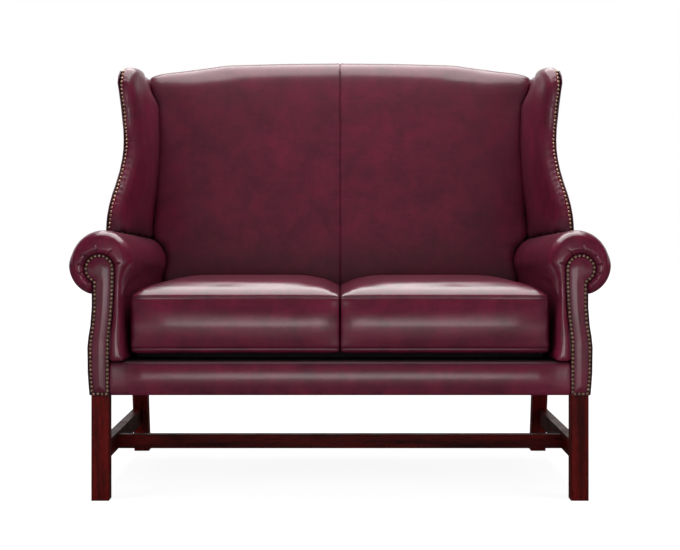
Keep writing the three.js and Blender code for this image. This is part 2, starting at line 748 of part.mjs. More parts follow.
// Rail from that upright out to the back post. Its recess starts inside the upright's.
function wingTopRail(grow, outwards = 0) {
  const low = wingRailBottom - grow;
  const high = wingRailTop + grow;
  const head = wingEdgeAt(wingRailTop);
  const start = head.y + wingPostSetback + (grow > 0 ? 0 : wingPostWidth + clearance);
  const outline = [[start, low], [postFront(low) - clearance, low], [postFront(high) - clearance, high],
    [start, high]];
  const splay = (legInner + wingRailLanding - head.x + wingPostInset) / (postFront(wingRailTop) - head.y);
  const innerX = (y) => head.x - wingPostInset + splay * (y - head.y) - grow;
  const ring = (xAt) => outline.map(([y, z]) => new THREE.Vector3(xAt(y), y, z));
  const outerX = (y) => innerX(y) + wingBoardThickness + 2 * grow + outwards;
  return loft([ring(innerX), ring(outerX)]);
}

// Space of the back frame, behind the back posts' front faces and under the crest padding.
function backFrameSpace(forward, x0, x1) {
  const top = postTop + overrun + crestDrop;
  const profile = [[postDepth - forward, 0], [outsideBackFoot + outsideBackLeanDepth + overrun, 0],
    [outsideBackFoot + outsideBackLeanDepth + overrun, top], [postFront(top) - forward, top],
    [postDepth - forward, straightTop]];
  return sawnAcross(profile, x0, x1);
}

// Crest rail's upper line from side to side.
function crestRailLine(halfWidth, grow) {
  const steps = 12;
  const points = [];
  for (let i = 0; i <= steps; i += 1) {
    const x = lerp(-halfWidth, halfWidth, i / steps);
    points.push([x, crestHeight(x) - crestPadding + grow]);
  }
  return points;
}

function underCrest(grow) {
  const half = scrollSpan / 2;
  const line = crestRailLine(legInner, grow);
  const end = line.at(-1)[1];
  const outline = [[-half, 0], [half, 0], [half, end], ...line.reverse(), [-half, end]];
  return sawnDeep(outline, 0, outsideBackFoot + outsideBackLeanDepth + 2 * overrun);
}

function frameHollow(forward) {
  const space = backFrameSpace(forward, -scrollSpan, scrollSpan);
  return toGeometry(toSolid(space).intersect(toSolid(underCrest(clearance))));
}

// Arms: frame, pad, facing, outside panel

function stump() {
  return sawnDeep(facingOutline(-stumpInset, railTop), 0, stumpThickness);
}

function stumpRecess() {
  return sawnDeep(facingOutline(clearance - stumpInset, railTop), -clearance, stumpThickness + clearance);
}

function facing() {
  return sawnDeep(facingOutline(0, undersideHeight), -facingThickness - clearance, -clearance);
}

function facingRecess() {
  return sawnDeep(facingOutline(clearance, undersideHeight), -frontLip - overrun, 0);
}

function tackRail() {
  const outer = legOuter - tackRailInset;
  const low = railTop + tackRailLift;
  return sawnAcross([[stumpThickness, low], [postFront(low) - clearance, low],
    [postFront(low + tackRailHeight) - clearance, low + tackRailHeight],
    [stumpThickness, low + tackRailHeight]], outer - tackRailThickness, outer);
}

function armPad() {
  const frame = backFrameSpace(clearance, 0, legOuter + clearance);
  return cut(armForm(0), facingRecess(), stumpRecess(), armRailChannel(), wingPost(clearance), frame,
    behindBack());
}

function outsideArmPanel() {
  const rise = headZ - undersideHeight;
  const heights = [...facingOuterShares.map(([share]) => share), 1];
  const edge = facingOuterUpper + facingPanelMargin;
  const frontX = (share) => edge + facingOuterSwell * shareAt(facingOuterShares, share);
  const ring = (xAt, y) => {
    const outer = heights.map((share) => [xAt(share), undersideHeight + rise * share]);
    const inner = [...outer].reverse().map(([x, z]) => [x - sidePanelThickness, z]);
    return ringAtDepth([...outer, ...inner], y);
  };
  const full = loft([ring(frontX, 0), ring(() => outerEdge, postDepth), ring(() => outerEdge, rollLength)]);
  return cut(full, armForm(clearance), behindBack());
}

pair('arm_stump', stump(), beech);
pair('arm_rail', armRailBoard(), beech);
pair('arm_tack_rail', tackRail(), beech);
pair('arm_pad', armPad(), leather);
pair('arm_facing', facing(), leather);
pair('outside_arm_panel', outsideArmPanel(), leather);

// Wings: post, top rail, pad, outside panel

function wingPad() {
  return cut(wingForm(), armForm(clearance), frameHollow(webbingReach), wingPost(clearance, overrun),
    wingTopRail(clearance, overrun));
}

pair('wing_post', wingPost(0), beech);
pair('wing_top_rail', wingTopRail(0), beech);
pair('wing_pad', wingPad(), leather);
pair('outside_wing_panel', cut(wingPanel(), armForm(clearance)), leather);

// Back: rails, upright, pad, outside panel

// Rail of the back frame, flush with the fronts of the posts, between two [x, z] lines.
function backRail(lower, upper) {
  const outline = [...lower, ...upper.reverse()];
  const ring = (deep) => outline.map(([x, z]) => new THREE.Vector3(x, postFront(z) + deep, z));
  return loft([ring(0), ring(backBoardThickness)]);
}

const backRailEnd = legInner - clearance;
const lowerRailBottom = railTop + lowerBackRailLift;
const lowerRailTop = lowerRailBottom + lowerBackRailHeight;
const flatLine = (z) => [[-backRailEnd, z], [backRailEnd, z]];
const crestRailBottom = postTop - crestRailEnd;

function centreUpright() {
  const half = centreUprightWidth / 2;
  const low = lowerRailTop;
  const high = crestRailBottom;
  return sawnAcross([[postFront(low), low], [postFront(low) + backBoardThickness, low],
    [postFront(high) + backBoardThickness, high], [postFront(high), high]], -half, half);
}

// Sections of the inside back out to the wing, and how much of the crease there is at each.
const backCreaseShares = [[1, 1], [0.975, 0.35], [0.9, 0.08], [0.62, 0], [0.3, 0], [0.06, 0], [0, 0]];

function insideBackForm() {
  const station = (share, crease, seam) => {
    const side = backHalfWidth * share;
    const crest = crestHeight(side);
    const point = (height, y) => {
      const z = lerp(armToeHeight, crest, height);
      return new THREE.Vector3((junctionX(z) + cutSpare) * share, y, z);
    };
    const sunk = backCreaseDepth * crease + backSeamDepth * seam;
    const front = backSurfaceShares.map(([height, lean]) =>
      point(height, backSurfaceDepth + backSurfaceLeanDepth * lean + sunk));
    const top = backSurfaceDepth + backSurfaceLeanDepth + sunk;
    const roll = crestRollShares.slice(1).map(([height, back]) =>
      point(height - crestCreaseShare * crease, lerp(top, outsideBack(crest), back)));
    const rear = backSurfaceShares.map(([height]) => point(height, outsideBack(crest))).reverse();
    return [...front, ...roll, ...rear];
  };
  const right = backCreaseShares.map(([share, crease]) => station(share, crease, share === 0 ? 1 : 0));
  const left = backCreaseShares.slice(0, -1).reverse().map(([share, crease]) => station(-share, crease, 0));
  return loft([...right, ...left]);
}

function insideBack() {
  const arm = armForm(clearance);
  const wing = wingForm().translate(-clearance, 0, 0);
  return cut(insideBackForm(), frameHollow(webbingReach), arm, mirrored(arm), wing, mirrored(wing));
}

function outsideBackPanel() {
  const edge = outerEdge;
  const end = crestHeight(legInner) - crestPadding;
  const line = crestRailLine(legInner, 0);
  const outline = [[-edge, undersideHeight], [edge, undersideHeight], [edge, end], ...line.reverse(),
    [-edge, end]];
  const ring = (deep) => outline.map(([x, z]) => new THREE.Vector3(x, outsideBack(z) - deep, z));
  return loft([ring(0), ring(outsideBackThickness)]);
}

piece('crest_rail', backRail(flatLine(crestRailBottom), crestRailLine(backRailEnd, 0)), beech);
piece('lower_back_rail', backRail(flatLine(lowerRailBottom), flatLine(lowerRailTop)), beech);
piece('back_upright', centreUpright(), beech);
piece('inside_back', insideBack(), leather);
piece('outside_back_panel', outsideBackPanel(), leather);

// Webbing: straps tacked to the seat rails and to the back frame, interlaced into one net each

const seatStrapFirst = -seatStrapPitch * (seatStrapCount - 1) / 2;
const seatBack = backRailY + railThickness / 2;
const crossStrapShoulder = webbingWidth - seatStrapFirst;

function seatStrap(i) {
  const x = seatStrapFirst + seatStrapPitch * i;
  return block([x - webbingWidth / 2, railSetback, railTop],
    [x + webbingWidth / 2, seatBack, railTop + webbingThickness]);
}

// Crosswise strap, which comes down to the side rails at its ends.
function crossStrap(i) {
  const half = [[sideRailX, railTop], [sideRailInner, railTop], [crossStrapShoulder, railTop + webbingLap]];
  const line = [...half, ...half.map(([x, z]) => [-x, z]).reverse()];
  const upper = line.map(([x, z]) => [x, z + webbingThickness]).reverse();
  const y = crossStrapFirst + crossStrapPitch * i;
  return sawnDeep([...line, ...upper], y, y + webbingWidth);
}

// Strap of the back between two [x, z] corners, lying forward of the posts by near.
function backStrap([x0, z0], [x1, z1], near) {
  const outline = [[x0, z0], [x1, z0], [x1, z1], [x0, z1]];
  const ring = (deep) => outline.map(([x, z]) => new THREE.Vector3(x, postFront(z) - near - deep, z));
  return loft([ring(0), ring(webbingThickness)]);
}

function backUprightStrap(i) {
  const x = backStrapPitch * (i - (backStrapCount - 1) / 2);
  return backStrap([x - webbingWidth / 2, lowerRailBottom],
    [x + webbingWidth / 2, crestRailBottom + webbingWidth], clearance);
}

function backCrossStrap(i) {
  const z = armHeight + backCrossLift + backCrossPitch * i;
  const end = legInner + backTackReach;
  return backStrap([-end, z], [end, z + webbingWidth], clearance + webbingLap);
}

const each = (count, make) => Array.from({ length: count }, (_, i) => make(i));

const seatStraps = [...each(seatStrapCount, seatStrap), ...each(crossStrapCount, crossStrap)];
const backStraps = [...each(backStrapCount, backUprightStrap), ...each(backCrossCount, backCrossStrap)];

piece('seat_webbing', join(...seatStraps), webbing);
piece('back_webbing', join(...backStraps), webbing);

// Deck, rail cover, dust cover

const railCoverInner = railSetback - clearance;
const railCoverTop = deckTop - clearance;

function deck() {
  const front = frontRailY + railThickness / 2 + clearance;
  const half = armCoreInner - clearance;
  return block([-half, front, deckBottom], [half, postDepth, deckTop]);
}

// Felt pad under the cushions, between the toes of the arms.
function deckPad() {
  const halfAt = (y) => armToeInner - deckPadInset - armToeBackTaper * (y / rollLength);
  const rear = backSurfaceDepth - deckPadInset;
  const [front, back] = [halfAt(deckPadFront), halfAt(rear)];
  return sawnUp([[-front, deckPadFront], [front, deckPadFront], [back, rear], [-back, rear]],
    deckTop + clearance, deckPadTop);
}

// Padded leather round the front rail, rounded above and below and open at the back.
function railCover() {
  const rear = frontRailY + railThickness / 2;
  const innerTop = deckBottom - clearance;
  const swell = railCoverShares.map(([height, share]) =>
    [-railCoverDepth * share, lerp(undersideHeight, railCoverTop, height)]);
  const outer = [[railCoverReturn, undersideHeight], ...swell, [rear, railCoverTop]];
  const inner = [[rear, innerTop], [railCoverInner, innerTop], [railCoverInner, railBottom - clearance],
    [railCoverReturn, railBottom - clearance]];
  const half = facingInnerLower - clearance;
  return sawnAcross([...outer, ...inner].reverse(), -half, half);
}

function dustCover() {
  const half = legInner - clearance;
  const front = railCoverReturn + clearance;
  return block([-half, front, railBottom - dustCoverThickness], [half, seatBack, railBottom]);
}

piece('seat_deck', deck(), deckCloth);
piece('deck_pad', deckPad(), felt);
piece('rail_cover', railCover(), leather);
piece('dust_cover', dustCover(), deckCloth);

// Seat cushions: boxed, with an edge all round the top, crowned above it, rounded below

// Outline of the unit square in equal steps, its corners drawn in by share.
function softSquare(share, power) {
  const ring = [];
  for (let i = 0; i < 4 * cushionSideSteps; i += 1) {
    const along = (2 * (i % cushionSideSteps)) / cushionSideSteps - 1;
    const spread = Math.sin((along * Math.PI) / 2);
    const side = Math.floor(i / cushionSideSteps);
    const [u, v] = [[1, spread], [-spread, 1], [-1, -spread], [spread, -1]][side];
    ring.push([u * (1 - share * Math.abs(v) ** power), v * (1 - share * Math.abs(u) ** power)]);
  }
  return ring;
}

function cushion() {
  const innerSide = cushionGap / 2;
  const base = deckPadTop + clearance;
  const halfDepth = (backSurfaceDepth - cushionBackGap - cushionFront) / 2;
  const centreY = cushionFront + halfDepth;
  const outerSide = (v) => armToeInner - cushionSideGap - (cushionTaper * (1 + v)) / 2;
  const outlineAt = (inset, z, size = 1) => {
    const share = lerp(cushionCrownCornerShare, cushionCornerShare, size);
    const power = lerp(cushionCrownCornerPower, cushionCornerPower, size);
    return softSquare(share, power).map(([u, v]) => {
      const centreX = (innerSide + outerSide(v * size)) / 2;
      const x = centreX + u * size * (outerSide(v * size) - centreX - inset);
      return new THREE.Vector3(x, centreY + v * size * (halfDepth - inset), z);
    });
  };
  const top = base + cushionHeight;
  const rings = [
    outlineAt(cushionUnderInset, base),
    outlineAt(cushionBorderSwell, base + cushionWeltLift / 2),
    outlineAt(cushionBorderSwell, base + cushionWeltLift),
    outlineAt(0, (base + top) / 2),
    outlineAt(cushionBorderSwell, top),
  ];
  cushionCrownShares.forEach(([size, rise]) => {
    rings.push(outlineAt(cushionBorderSwell, top + cushionCrown * rise, size));
  });
  return loft(rings);
}

pair('seat_cushion', cushion(), leather);

// Stands on the floor with its footprint centred on the origin.
const footprint = new THREE.Box3().setFromObject(settee);
const centre = footprint.getCenter(new THREE.Vector3());
settee.position.set(-centre.x, -centre.y, -footprint.min.z);

const wholeSettee = new THREE.Group();
wholeSettee.add(settee);

export default wholeSettee;
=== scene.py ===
import math

import bmesh
import bpy
import numpy as np
from mathutils import Matrix, Vector, noise
from mathutils.bvhtree import BVHTree


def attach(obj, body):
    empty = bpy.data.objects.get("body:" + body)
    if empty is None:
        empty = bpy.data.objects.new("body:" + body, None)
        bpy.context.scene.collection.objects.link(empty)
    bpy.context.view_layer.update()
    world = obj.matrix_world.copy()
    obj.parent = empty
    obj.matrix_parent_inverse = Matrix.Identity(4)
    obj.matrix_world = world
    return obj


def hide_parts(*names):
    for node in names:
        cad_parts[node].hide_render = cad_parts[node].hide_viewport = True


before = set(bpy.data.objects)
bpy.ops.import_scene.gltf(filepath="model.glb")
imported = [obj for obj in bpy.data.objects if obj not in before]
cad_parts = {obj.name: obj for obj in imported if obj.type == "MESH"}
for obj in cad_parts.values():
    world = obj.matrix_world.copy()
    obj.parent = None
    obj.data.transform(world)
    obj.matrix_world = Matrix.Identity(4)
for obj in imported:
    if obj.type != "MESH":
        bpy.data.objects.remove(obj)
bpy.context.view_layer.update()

scene = bpy.context.scene

# Camera
# A level view, square to the front and a little above the arms' tops, at the distance that the
# narrowing of the back legs gives. The shift keeps the view level with the settee in the frame.
photo_width = 680
photo_height = 550
horizon_row = 213
leg_front = -0.40235
leg_distance = 3.62
eye_height = 0.729
pixels_per_metre = 394.89

lens = bpy.data.cameras.new("camera")
lens.sensor_width = 36
lens.lens = pixels_per_metre * leg_distance / photo_width * lens.sensor_width
lens.shift_y = (horizon_row - photo_height / 2) / photo_width
camera = bpy.data.objects.new("camera", lens)
camera.location = (0, leg_front - leg_distance, eye_height)
camera.rotation_euler = (math.radians(90), 0, 0)
scene.collection.objects.link(camera)
scene.camera = camera
scene.view_settings.view_transform = "Standard"


# Shader maths
# Wire stands for one output in a material's nodes, and sums and products of wires add the Math
# nodes. Finish is a material in the making: node() adds any other node.
class Wire:
    def __init__(self, finish, socket):
        self.finish = finish
        self.socket = socket

    def maths(self, operation, first, second):
        settings = {"operation": operation, "use_clamp": False}
        return self.finish.node("ShaderNodeMath", settings, {0: first, 1: second})

    def __add__(self, other):
        return self.maths("ADD", self, other)

    def __sub__(self, other):
        return self.maths("SUBTRACT", self, other)

    def __rsub__(self, other):
        return self.maths("SUBTRACT", other, self)

    def __mul__(self, other):
        return self.maths("MULTIPLY", self, other)

    __radd__ = __add__
    __rmul__ = __mul__


class Finish:
    def __init__(self, name, tree=None):
        self.material = None
        if tree is None:
            self.material = bpy.data.materials.new(name)
            self.material.use_nodes = True
            tree = self.material.node_tree
        self.tree = tree
        self.surface = tree.nodes.get("Principled BSDF")

    def feed(self, socket, value):
        if isinstance(value, Wire):
            self.tree.links.new(value.socket, socket)
        else:
            socket.default_value = value

    def node(self, kind, settings=None, inputs=None, output=0):
        made = self.tree.nodes.new(kind)
        for name, value in (settings or {}).items():
            if name == "stops":
                elements = made.color_ramp.elements
                while len(elements) < len(value):
                    elements.new(1)
                for element, (place, colour) in zip(elements, value):
                    element.position = place
                    element.color = colour
            else:
                setattr(made, name, value)
        for name, value in (inputs or {}).items():
            self.feed(made.inputs[name], value)
        return Wire(self, made.outputs[output])

    def mix(self, share, first, second, how="MIX"):
        settings = {"data_type": "RGBA", "blend_type": how}
        return self.node("ShaderNodeMix", settings, {0: share, 6: first, 7: second}, output=2)

    def place(self, stretch=(1, 1, 1)):
        here = self.node("ShaderNodeTexCoord", output="Object")
        return self.node("ShaderNodeMapping", inputs={"Vector": here, "Scale": stretch})

    def cloudy(self, where, size, detail=3, warp=0, roughness=0.5):
        sockets = {"Vector": where, "Scale": 1 / size, "Detail": detail, "Distortion": warp,
                   "Roughness": roughness}
        return self.node("ShaderNodeTexNoise", inputs=sockets)

    def spread(self, wire, low, high, low_value=0.0, high_value=1.0):
        sockets = {"Value": wire, 1: low, 2: high, 3: low_value, 4: high_value}
        return self.node("ShaderNodeMapRange", {"clamp": True}, sockets)

    def dress(self, **sockets):
        for name, value in sockets.items():
            self.feed(self.surface.inputs[name.replace("_", " ")], value)
        return self.material


def tint(red, green, blue):
    """A colour as read off a screen, 0 to 255, as the linear values that a shader takes."""
    def linear(value):
        share = value / 255
        return share / 12.92 if share <= 0.04045 else ((share + 0.055) / 1.055) ** 2.4
    return (linear(red), linear(green), linear(blue), 1)


# Studio
# A plain white floor that keeps a faint shadow, a white surround that only the lens sees, soft
# fill light without highlights, and what makes the highlights: a box overhead, a low one in
# front, and the white backdrop behind for the crest and the cushions' tops.
def studio():
    floor_reach = 30
    bpy.ops.object.select_all(action="DESELECT")
    bpy.ops.mesh.primitive_plane_add(size=floor_reach, location=(0, 0, 0))
    floor = bpy.context.active_object
    floor.name = "floor"
    paint = Finish("floor_white")
    rays = paint.tree.nodes.new("ShaderNodeLightPath")
    seen = Wire(paint, rays.outputs["Is Camera Ray"])
    mirrored = Wire(paint, rays.outputs["Is Glossy Ray"])
    shadowed = paint.node("ShaderNodeBsdfDiffuse", inputs={"Color": tint(236, 236, 236)})
    glow = paint.node("ShaderNodeEmission", inputs={"Color": (1, 1, 1, 1), "Strength": 1.12})
    where = paint.node("ShaderNodeTexCoord", output="Object")
    away = paint.node("ShaderNodeVectorMath", {"operation": "LENGTH"}, {0: where}, output=1)
    bleached = paint.spread(away, 1.0, 2.4, 0.82, 1.0)
    back_to_front = paint.node("ShaderNodeSeparateXYZ", inputs={0: where}, output=1)
    swept = paint.spread(back_to_front, -1.3, -3.2, 0.03, 0.9)
    dim = paint.node("ShaderNodeEmission", inputs={"Color": (1, 1, 1, 1), "Strength": swept})
    lit = paint.node("ShaderNodeMixShader", inputs={0: seen * bleached, 1: shadowed, 2: glow})
    both = paint.node("ShaderNodeMixShader", inputs={0: mirrored, 1: lit, 2: dim})
    paint.tree.links.new(both.socket, paint.tree.nodes["Material Output"].inputs["Surface"])
    floor.data.materials.append(paint.material)

    world = bpy.data.worlds.new("studio")
    scene.world = world
    world.use_nodes = True
    sky = Finish("studio", world.node_tree)
    rays = sky.tree.nodes.new("ShaderNodeLightPath")
    towards = sky.node("ShaderNodeTexCoord", output="Generated")
    behind = sky.node("ShaderNodeSeparateXYZ", inputs={0: towards}, output=1)
    mirrored = Wire(sky, rays.outputs["Is Glossy Ray"])
    backdrop = sky.spread(behind, 0.4, 0.85, 0.02, 0.85)
    ambient = 0.24
    room = mirrored * (backdrop - ambient) + ambient
    white = sky.node("ShaderNodeMath", {"operation": "MAXIMUM"},
                     {0: room, 1: Wire(sky, rays.outputs["Is Camera Ray"])})
    back = sky.tree.nodes["Background"]
    back.inputs["Color"].default_value = (1, 1, 1, 1)
    sky.feed(back.inputs["Strength"], white)

    fill, shine, both = (True, False), (False, True), (True, True)
    boxes = {
        "front_fill": ((0, -3.2, 2.5), (3.0, 1.6), (0, 0, 0.6), 30, fill),
        "left_fill": ((-2.8, -2.0, 1.4), (1.2, 1.6), (0.4, 0, 0.6), 40, fill),
        "right_fill": ((2.8, -2.0, 1.4), (1.2, 1.6), (-0.4, 0, 0.6), 40, fill),
        "overhead_box": ((0, 0.4, 2.5), (2.5, 2.5), (0, 0.4, 0), 112, both),
        "low_box": ((0, -4.6, 0.26), (2.1, 0.66), (0, 0, 0.3), 26, shine),
    }
    for name, (place, (width, length), aim, power, (spread_light, highlights)) in boxes.items():
        light = bpy.data.lights.new(name, "AREA")
        light.shape = "RECTANGLE"
        light.size = width
        light.size_y = length
        light.energy = power
        lamp = bpy.data.objects.new(name, light)
        lamp.location = place
        towards = Vector(aim) - Vector(place)
        lamp.rotation_euler = towards.to_track_quat("-Z", "Y").to_euler()
        lamp.visible_diffuse = spread_light
        lamp.visible_glossy = highlights
        scene.collection.objects.link(lamp)


studio()


# Legs and stretchers
# Square mahogany legs and plain stretchers, stained dark red and polished. The grain runs along
# each stick, and the gloss of the polish varies a little from place to place.
def mahogany(name, along):
    wood = Finish(name)
    long_grain = 0.07
    stretch = [1.0, 1.0, 1.0]
    stretch[along] = long_grain
    where = wood.place(tuple(stretch))
    figure = wood.cloudy(where, size=0.022, detail=4, warp=0.6)
    pores = wood.cloudy(where, size=0.0022, detail=3, roughness=0.7)
    stain = wood.node("ShaderNodeValToRGB", {"stops": [
        (0.30, tint(36, 4, 3)), (0.46, tint(64, 8, 6)),
        (0.56, tint(80, 9, 7)), (0.72, tint(56, 5, 4))]}, {0: figure})
    dark_pores = wood.spread(pores, 0.34, 0.48)
    colour = wood.mix(dark_pores, tint(24, 5, 4), stain)
    uneven = wood.cloudy(wood.place(), size=0.05)
    bump = wood.node("ShaderNodeBump", inputs={"Strength": 0.12, "Distance": 0.0006, "Height": pores})
    return wood.dress(Base_Color=colour, Roughness=wood.spread(uneven, 0.3, 0.7, 0.34, 0.48),
                      Normal=bump, Coat_Weight=0.03, Coat_Roughness=0.25, Specular_IOR_Level=0.05)


def finish_node(node, material):
    """Gives a part that keeps its own mesh its finished material."""
    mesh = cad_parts[node].data
    mesh.materials.clear()
    mesh.materials.append(material)


across, deep, upright = 0, 1, 2
mahogany_upright = mahogany("mahogany_upright", upright)
mahogany_deep = mahogany("mahogany_deep", deep)
mahogany_across = mahogany("mahogany_across", across)
for side in ("left", "right"):
    finish_node("front_leg_" + side, mahogany_upright)
    finish_node("back_post_" + side, mahogany_upright)
    finish_node("side_stretcher_" + side, mahogany_deep)
finish_node("cross_stretcher", mahogany_across)


# Inner frame
# Rails, posts, stumps and blocks of plain sawn beech, glued and screwed. They show only through
# the seat once the cushions are out.
def beech(name, along):
    wood = Finish(name)
    stretch = [1.0, 1.0, 1.0]
    stretch[along] = 0.06
    where = wood.place(tuple(stretch))
    figure = wood.cloudy(where, size=0.03, detail=4, warp=0.8)
    flecks = wood.cloudy(where, size=0.004, detail=2)
    sawn = wood.node("ShaderNodeValToRGB", {"stops": [
        (0.35, tint(168, 132, 92)), (0.55, tint(196, 160, 116)), (0.75, tint(208, 176, 134))]}, {0: figure})
    colour = wood.mix(wood.spread(flecks, 0.55, 0.7), sawn, tint(140, 100, 66))
    bump = wood.node("ShaderNodeBump", inputs={"Strength": 0.3, "Distance": 0.0005, "Height": flecks})
    return wood.dress(Base_Color=colour, Roughness=wood.spread(figure, 0.3, 0.7, 0.6, 0.8), Normal=bump)


beech_by_axis = {across: beech("beech_across", across), deep: beech("beech_deep", deep),
                 upright: beech("beech_upright", upright)}
beech_nodes = {
    across: ["front_seat_rail", "back_seat_rail", "crest_rail", "lower_back_rail"],
    deep: ["centre_seat_rail"],
    upright: ["back_upright"],
}
for side in ("left", "right"):
    beech_nodes[across] += ["front_corner_block_" + side, "back_corner_block_" + side]
    beech_nodes[deep] += ["side_seat_rail_" + side, "arm_rail_" + side, "arm_tack_rail_" + side,
                          "wing_top_rail_" + side]
    beech_nodes[upright] += ["arm_stump_" + side, "wing_post_" + side]
for along, nodes in beech_nodes.items():
    for node in nodes:
        finish_node(node, beech_by_axis[along])


# Seat platform
# Interlaced webbing under a black deck cloth, a needled felt pad on top, and a black dust cover
# tacked below the rails.
def woven(name, light, dark, thread, rough):
    cloth = Finish(name)
    where = cloth.place()
    parts = [cloth.node("ShaderNodeSeparateXYZ", inputs={0: where}, output=axis) for axis in (0, 1)]
    waves = []
    for axis, part in enumerate(parts):
        turns = part * (math.tau / thread)
        waves.append(cloth.node("ShaderNodeMath", {"operation": "SINE"}, {0: turns}))
    weave = cloth.spread(waves[0] * waves[1], -1, 1)
    fluff = cloth.cloudy(where, size=0.012, detail=4)
    colour = cloth.mix(weave * 0.6 + fluff * 0.4, dark, light)
    bump = cloth.node("ShaderNodeBump", inputs={"Strength": 0.5, "Distance": 0.0004, "Height": weave})
    return cloth.dress(Base_Color=colour, Roughness=rough, Normal=bump, Specular_IOR_Level=0.2)


webbing = woven("webbing_weave", tint(128, 106, 80), tint(78, 62, 46), 0.004, 0.85)
lining = woven("deck_cloth_weave", tint(30, 26, 28), tint(14, 12, 13), 0.0016, 0.9)
felt = woven("felt_needled", tint(84, 74, 78), tint(52, 46, 50), 0.006, 0.95)
finish_node("seat_webbing", webbing)
finish_node("back_webbing", webbing)
finish_node("seat_deck", lining)
finish_node("dust_cover", lining)


# Leather
# Antiqued hide: a dark top coat rubbed back to a redder ground in clouds, fine pebbled grain, and
# dark dye left in the seams. A point attribute marks that dye, and also painted shade: darker
# colour in creases, against neighbouring parts and below the cushions, where shade falls.
def antique_leather(name):
    hide = Finish(name)
    where = hide.place()
    clouds = hide.cloudy(where, size=0.075, detail=5, warp=0.5, roughness=0.6)
    streaks = hide.cloudy(hide.place((0.35, 0.35, 1.0)), size=0.014, detail=5, warp=0.8, roughness=0.7)
    runs = hide.cloudy(hide.place((1.0, 1.0, 0.3)), size=0.018, detail=4, warp=0.6, roughness=0.7)
    wear = clouds * 0.5 + streaks * 0.28 + runs * 0.22
    ground = hide.node("ShaderNodeValToRGB", {"stops": [
        (0.34, tint(60, 11, 28)), (0.46, tint(74, 14, 35)),
        (0.56, tint(85, 16, 40)), (0.70, tint(98, 20, 46))]}, {0: wear})
    seam = hide.node("ShaderNodeAttribute", {"attribute_name": "seam"}, output=2)
    # Darkens the ground where the attribute says: dye in the seams, and painted shade in creases and
    # between parts.
    colour = hide.mix(seam * 0.86, ground, tint(16, 5, 8))
    pebbles = hide.node("ShaderNodeTexVoronoi", {"feature": "SMOOTH_F1"},
                        {"Vector": where, "Scale": 1 / 0.0022, "Smoothness": 0.6})
    creases = hide.cloudy(where, size=0.007, detail=3, roughness=0.6)
    height = pebbles * 0.5 + creases * 0.7
    bump = hide.node("ShaderNodeBump", inputs={"Strength": 0.2, "Distance": 0.0005, "Height": height})
    slack = hide.cloudy(where, size=0.07, detail=3)
    waved = hide.node("ShaderNodeBump", inputs={"Strength": 0.3, "Distance": 0.004, "Height": slack,
                                                "Normal": bump})
    rough = hide.spread(wear, 0.38, 0.62, 0.33, 0.29)
    return hide.dress(Base_Color=colour, Roughness=rough + seam * 0.3, Normal=waved,
                      Coat_Weight=(1 - seam) * 0.55, Coat_Roughness=0.2, Specular_IOR_Level=0.26)


leather = antique_leather("antique_leather")


# Stuffing
# Every pad starts as its plain solid, is evened out and smoothed, and is then blown up like a
# stuffed cover: it stays put where the frame or a neighbour holds it, and swells where it is free.
def choose(*objects):
    bpy.ops.object.select_all(action="DESELECT")
    for thing in objects:
        thing.select_set(True)
    bpy.context.view_layer.objects.active = objects[0]


def copy_of(node, name):
    """A leather piece with the shape of a node's solid, its loose triangles merged."""
    piece = bpy.data.objects.new(name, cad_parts[node].data.copy())
    piece.data.materials.clear()
    piece.data.materials.append(leather)
    scene.collection.objects.link(piece)
    choose(piece)
    bpy.ops.object.mode_set(mode="EDIT")
    bpy.ops.mesh.select_all(action="SELECT")
    bpy.ops.mesh.remove_doubles(threshold=1e-6)
    bpy.ops.object.mode_set(mode="OBJECT")
    return piece


def modify(piece, kind, **settings):
    change = piece.modifiers.new(kind.lower(), kind)
    for name, value in settings.items():
        setattr(change, name, value)
    choose(piece)
    bpy.ops.object.modifier_apply(modifier=change.name)


def points_of(mesh):
    flat = np.zeros(len(mesh.vertices) * 3)
    mesh.vertices.foreach_get("co", flat)
    return flat.reshape(-1, 3)


def normals_of(mesh):
    flat = np.zeros(len(mesh.vertices) * 3)
    mesh.vertex_normals.foreach_get("vector", flat)
    return flat.reshape(-1, 3)


def move_points(mesh, points):
    mesh.vertices.foreach_set("co", points.ravel())
    mesh.update()


def ease(value, low, high):
    """0 up to low, 1 from high on, and smooth between."""
    share = np.clip((value - low) / (high - low), 0, 1)
    return share * share * (3 - 2 * share)


def weigh(piece, name, weights):
    """Gives each point of a piece its weight, in a vertex group."""
    group = piece.vertex_groups.new(name=name)
    for i, weight in enumerate(weights):
        group.add([i], float(weight), "REPLACE")
    return group.name


def smooth_where(piece, weights, iterations):
    """Smooths a piece as far as each point's weight allows."""
    group = weigh(piece, "smoothed", weights)
    modify(piece, "SMOOTH", factor=0.5, iterations=iterations, vertex_group=group)
    piece.vertex_groups.clear()


def cut_finer(piece, cuts, wanted, smoothness=0.0):
    """Cuts the faces whose middles are wanted into smaller ones."""
    choose(piece)
    bpy.ops.object.mode_set(mode="EDIT")
    bpy.ops.mesh.select_all(action="DESELECT")
    shape = bmesh.from_edit_mesh(piece.data)
    for face in shape.faces:
        face.select_set(wanted(face.calc_center_median()))
    bmesh.update_edit_mesh(piece.data)
    bpy.ops.mesh.subdivide(number_cuts=cuts, smoothness=smoothness)
    bpy.ops.object.mode_set(mode="OBJECT")


def surroundings(but=(), only=()):
    """A search tree of the faces of all the parts but those named, or of only those named."""
    corners, faces = [], []
    for node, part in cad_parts.items():
        if node in but or (only and node not in only):
            continue
        start = len(corners)
        corners.extend(v.co.copy() for v in part.data.vertices)
        faces.extend([start + i for i in face.vertices] for face in part.data.polygons)
    return BVHTree.FromPolygons(corners, faces)


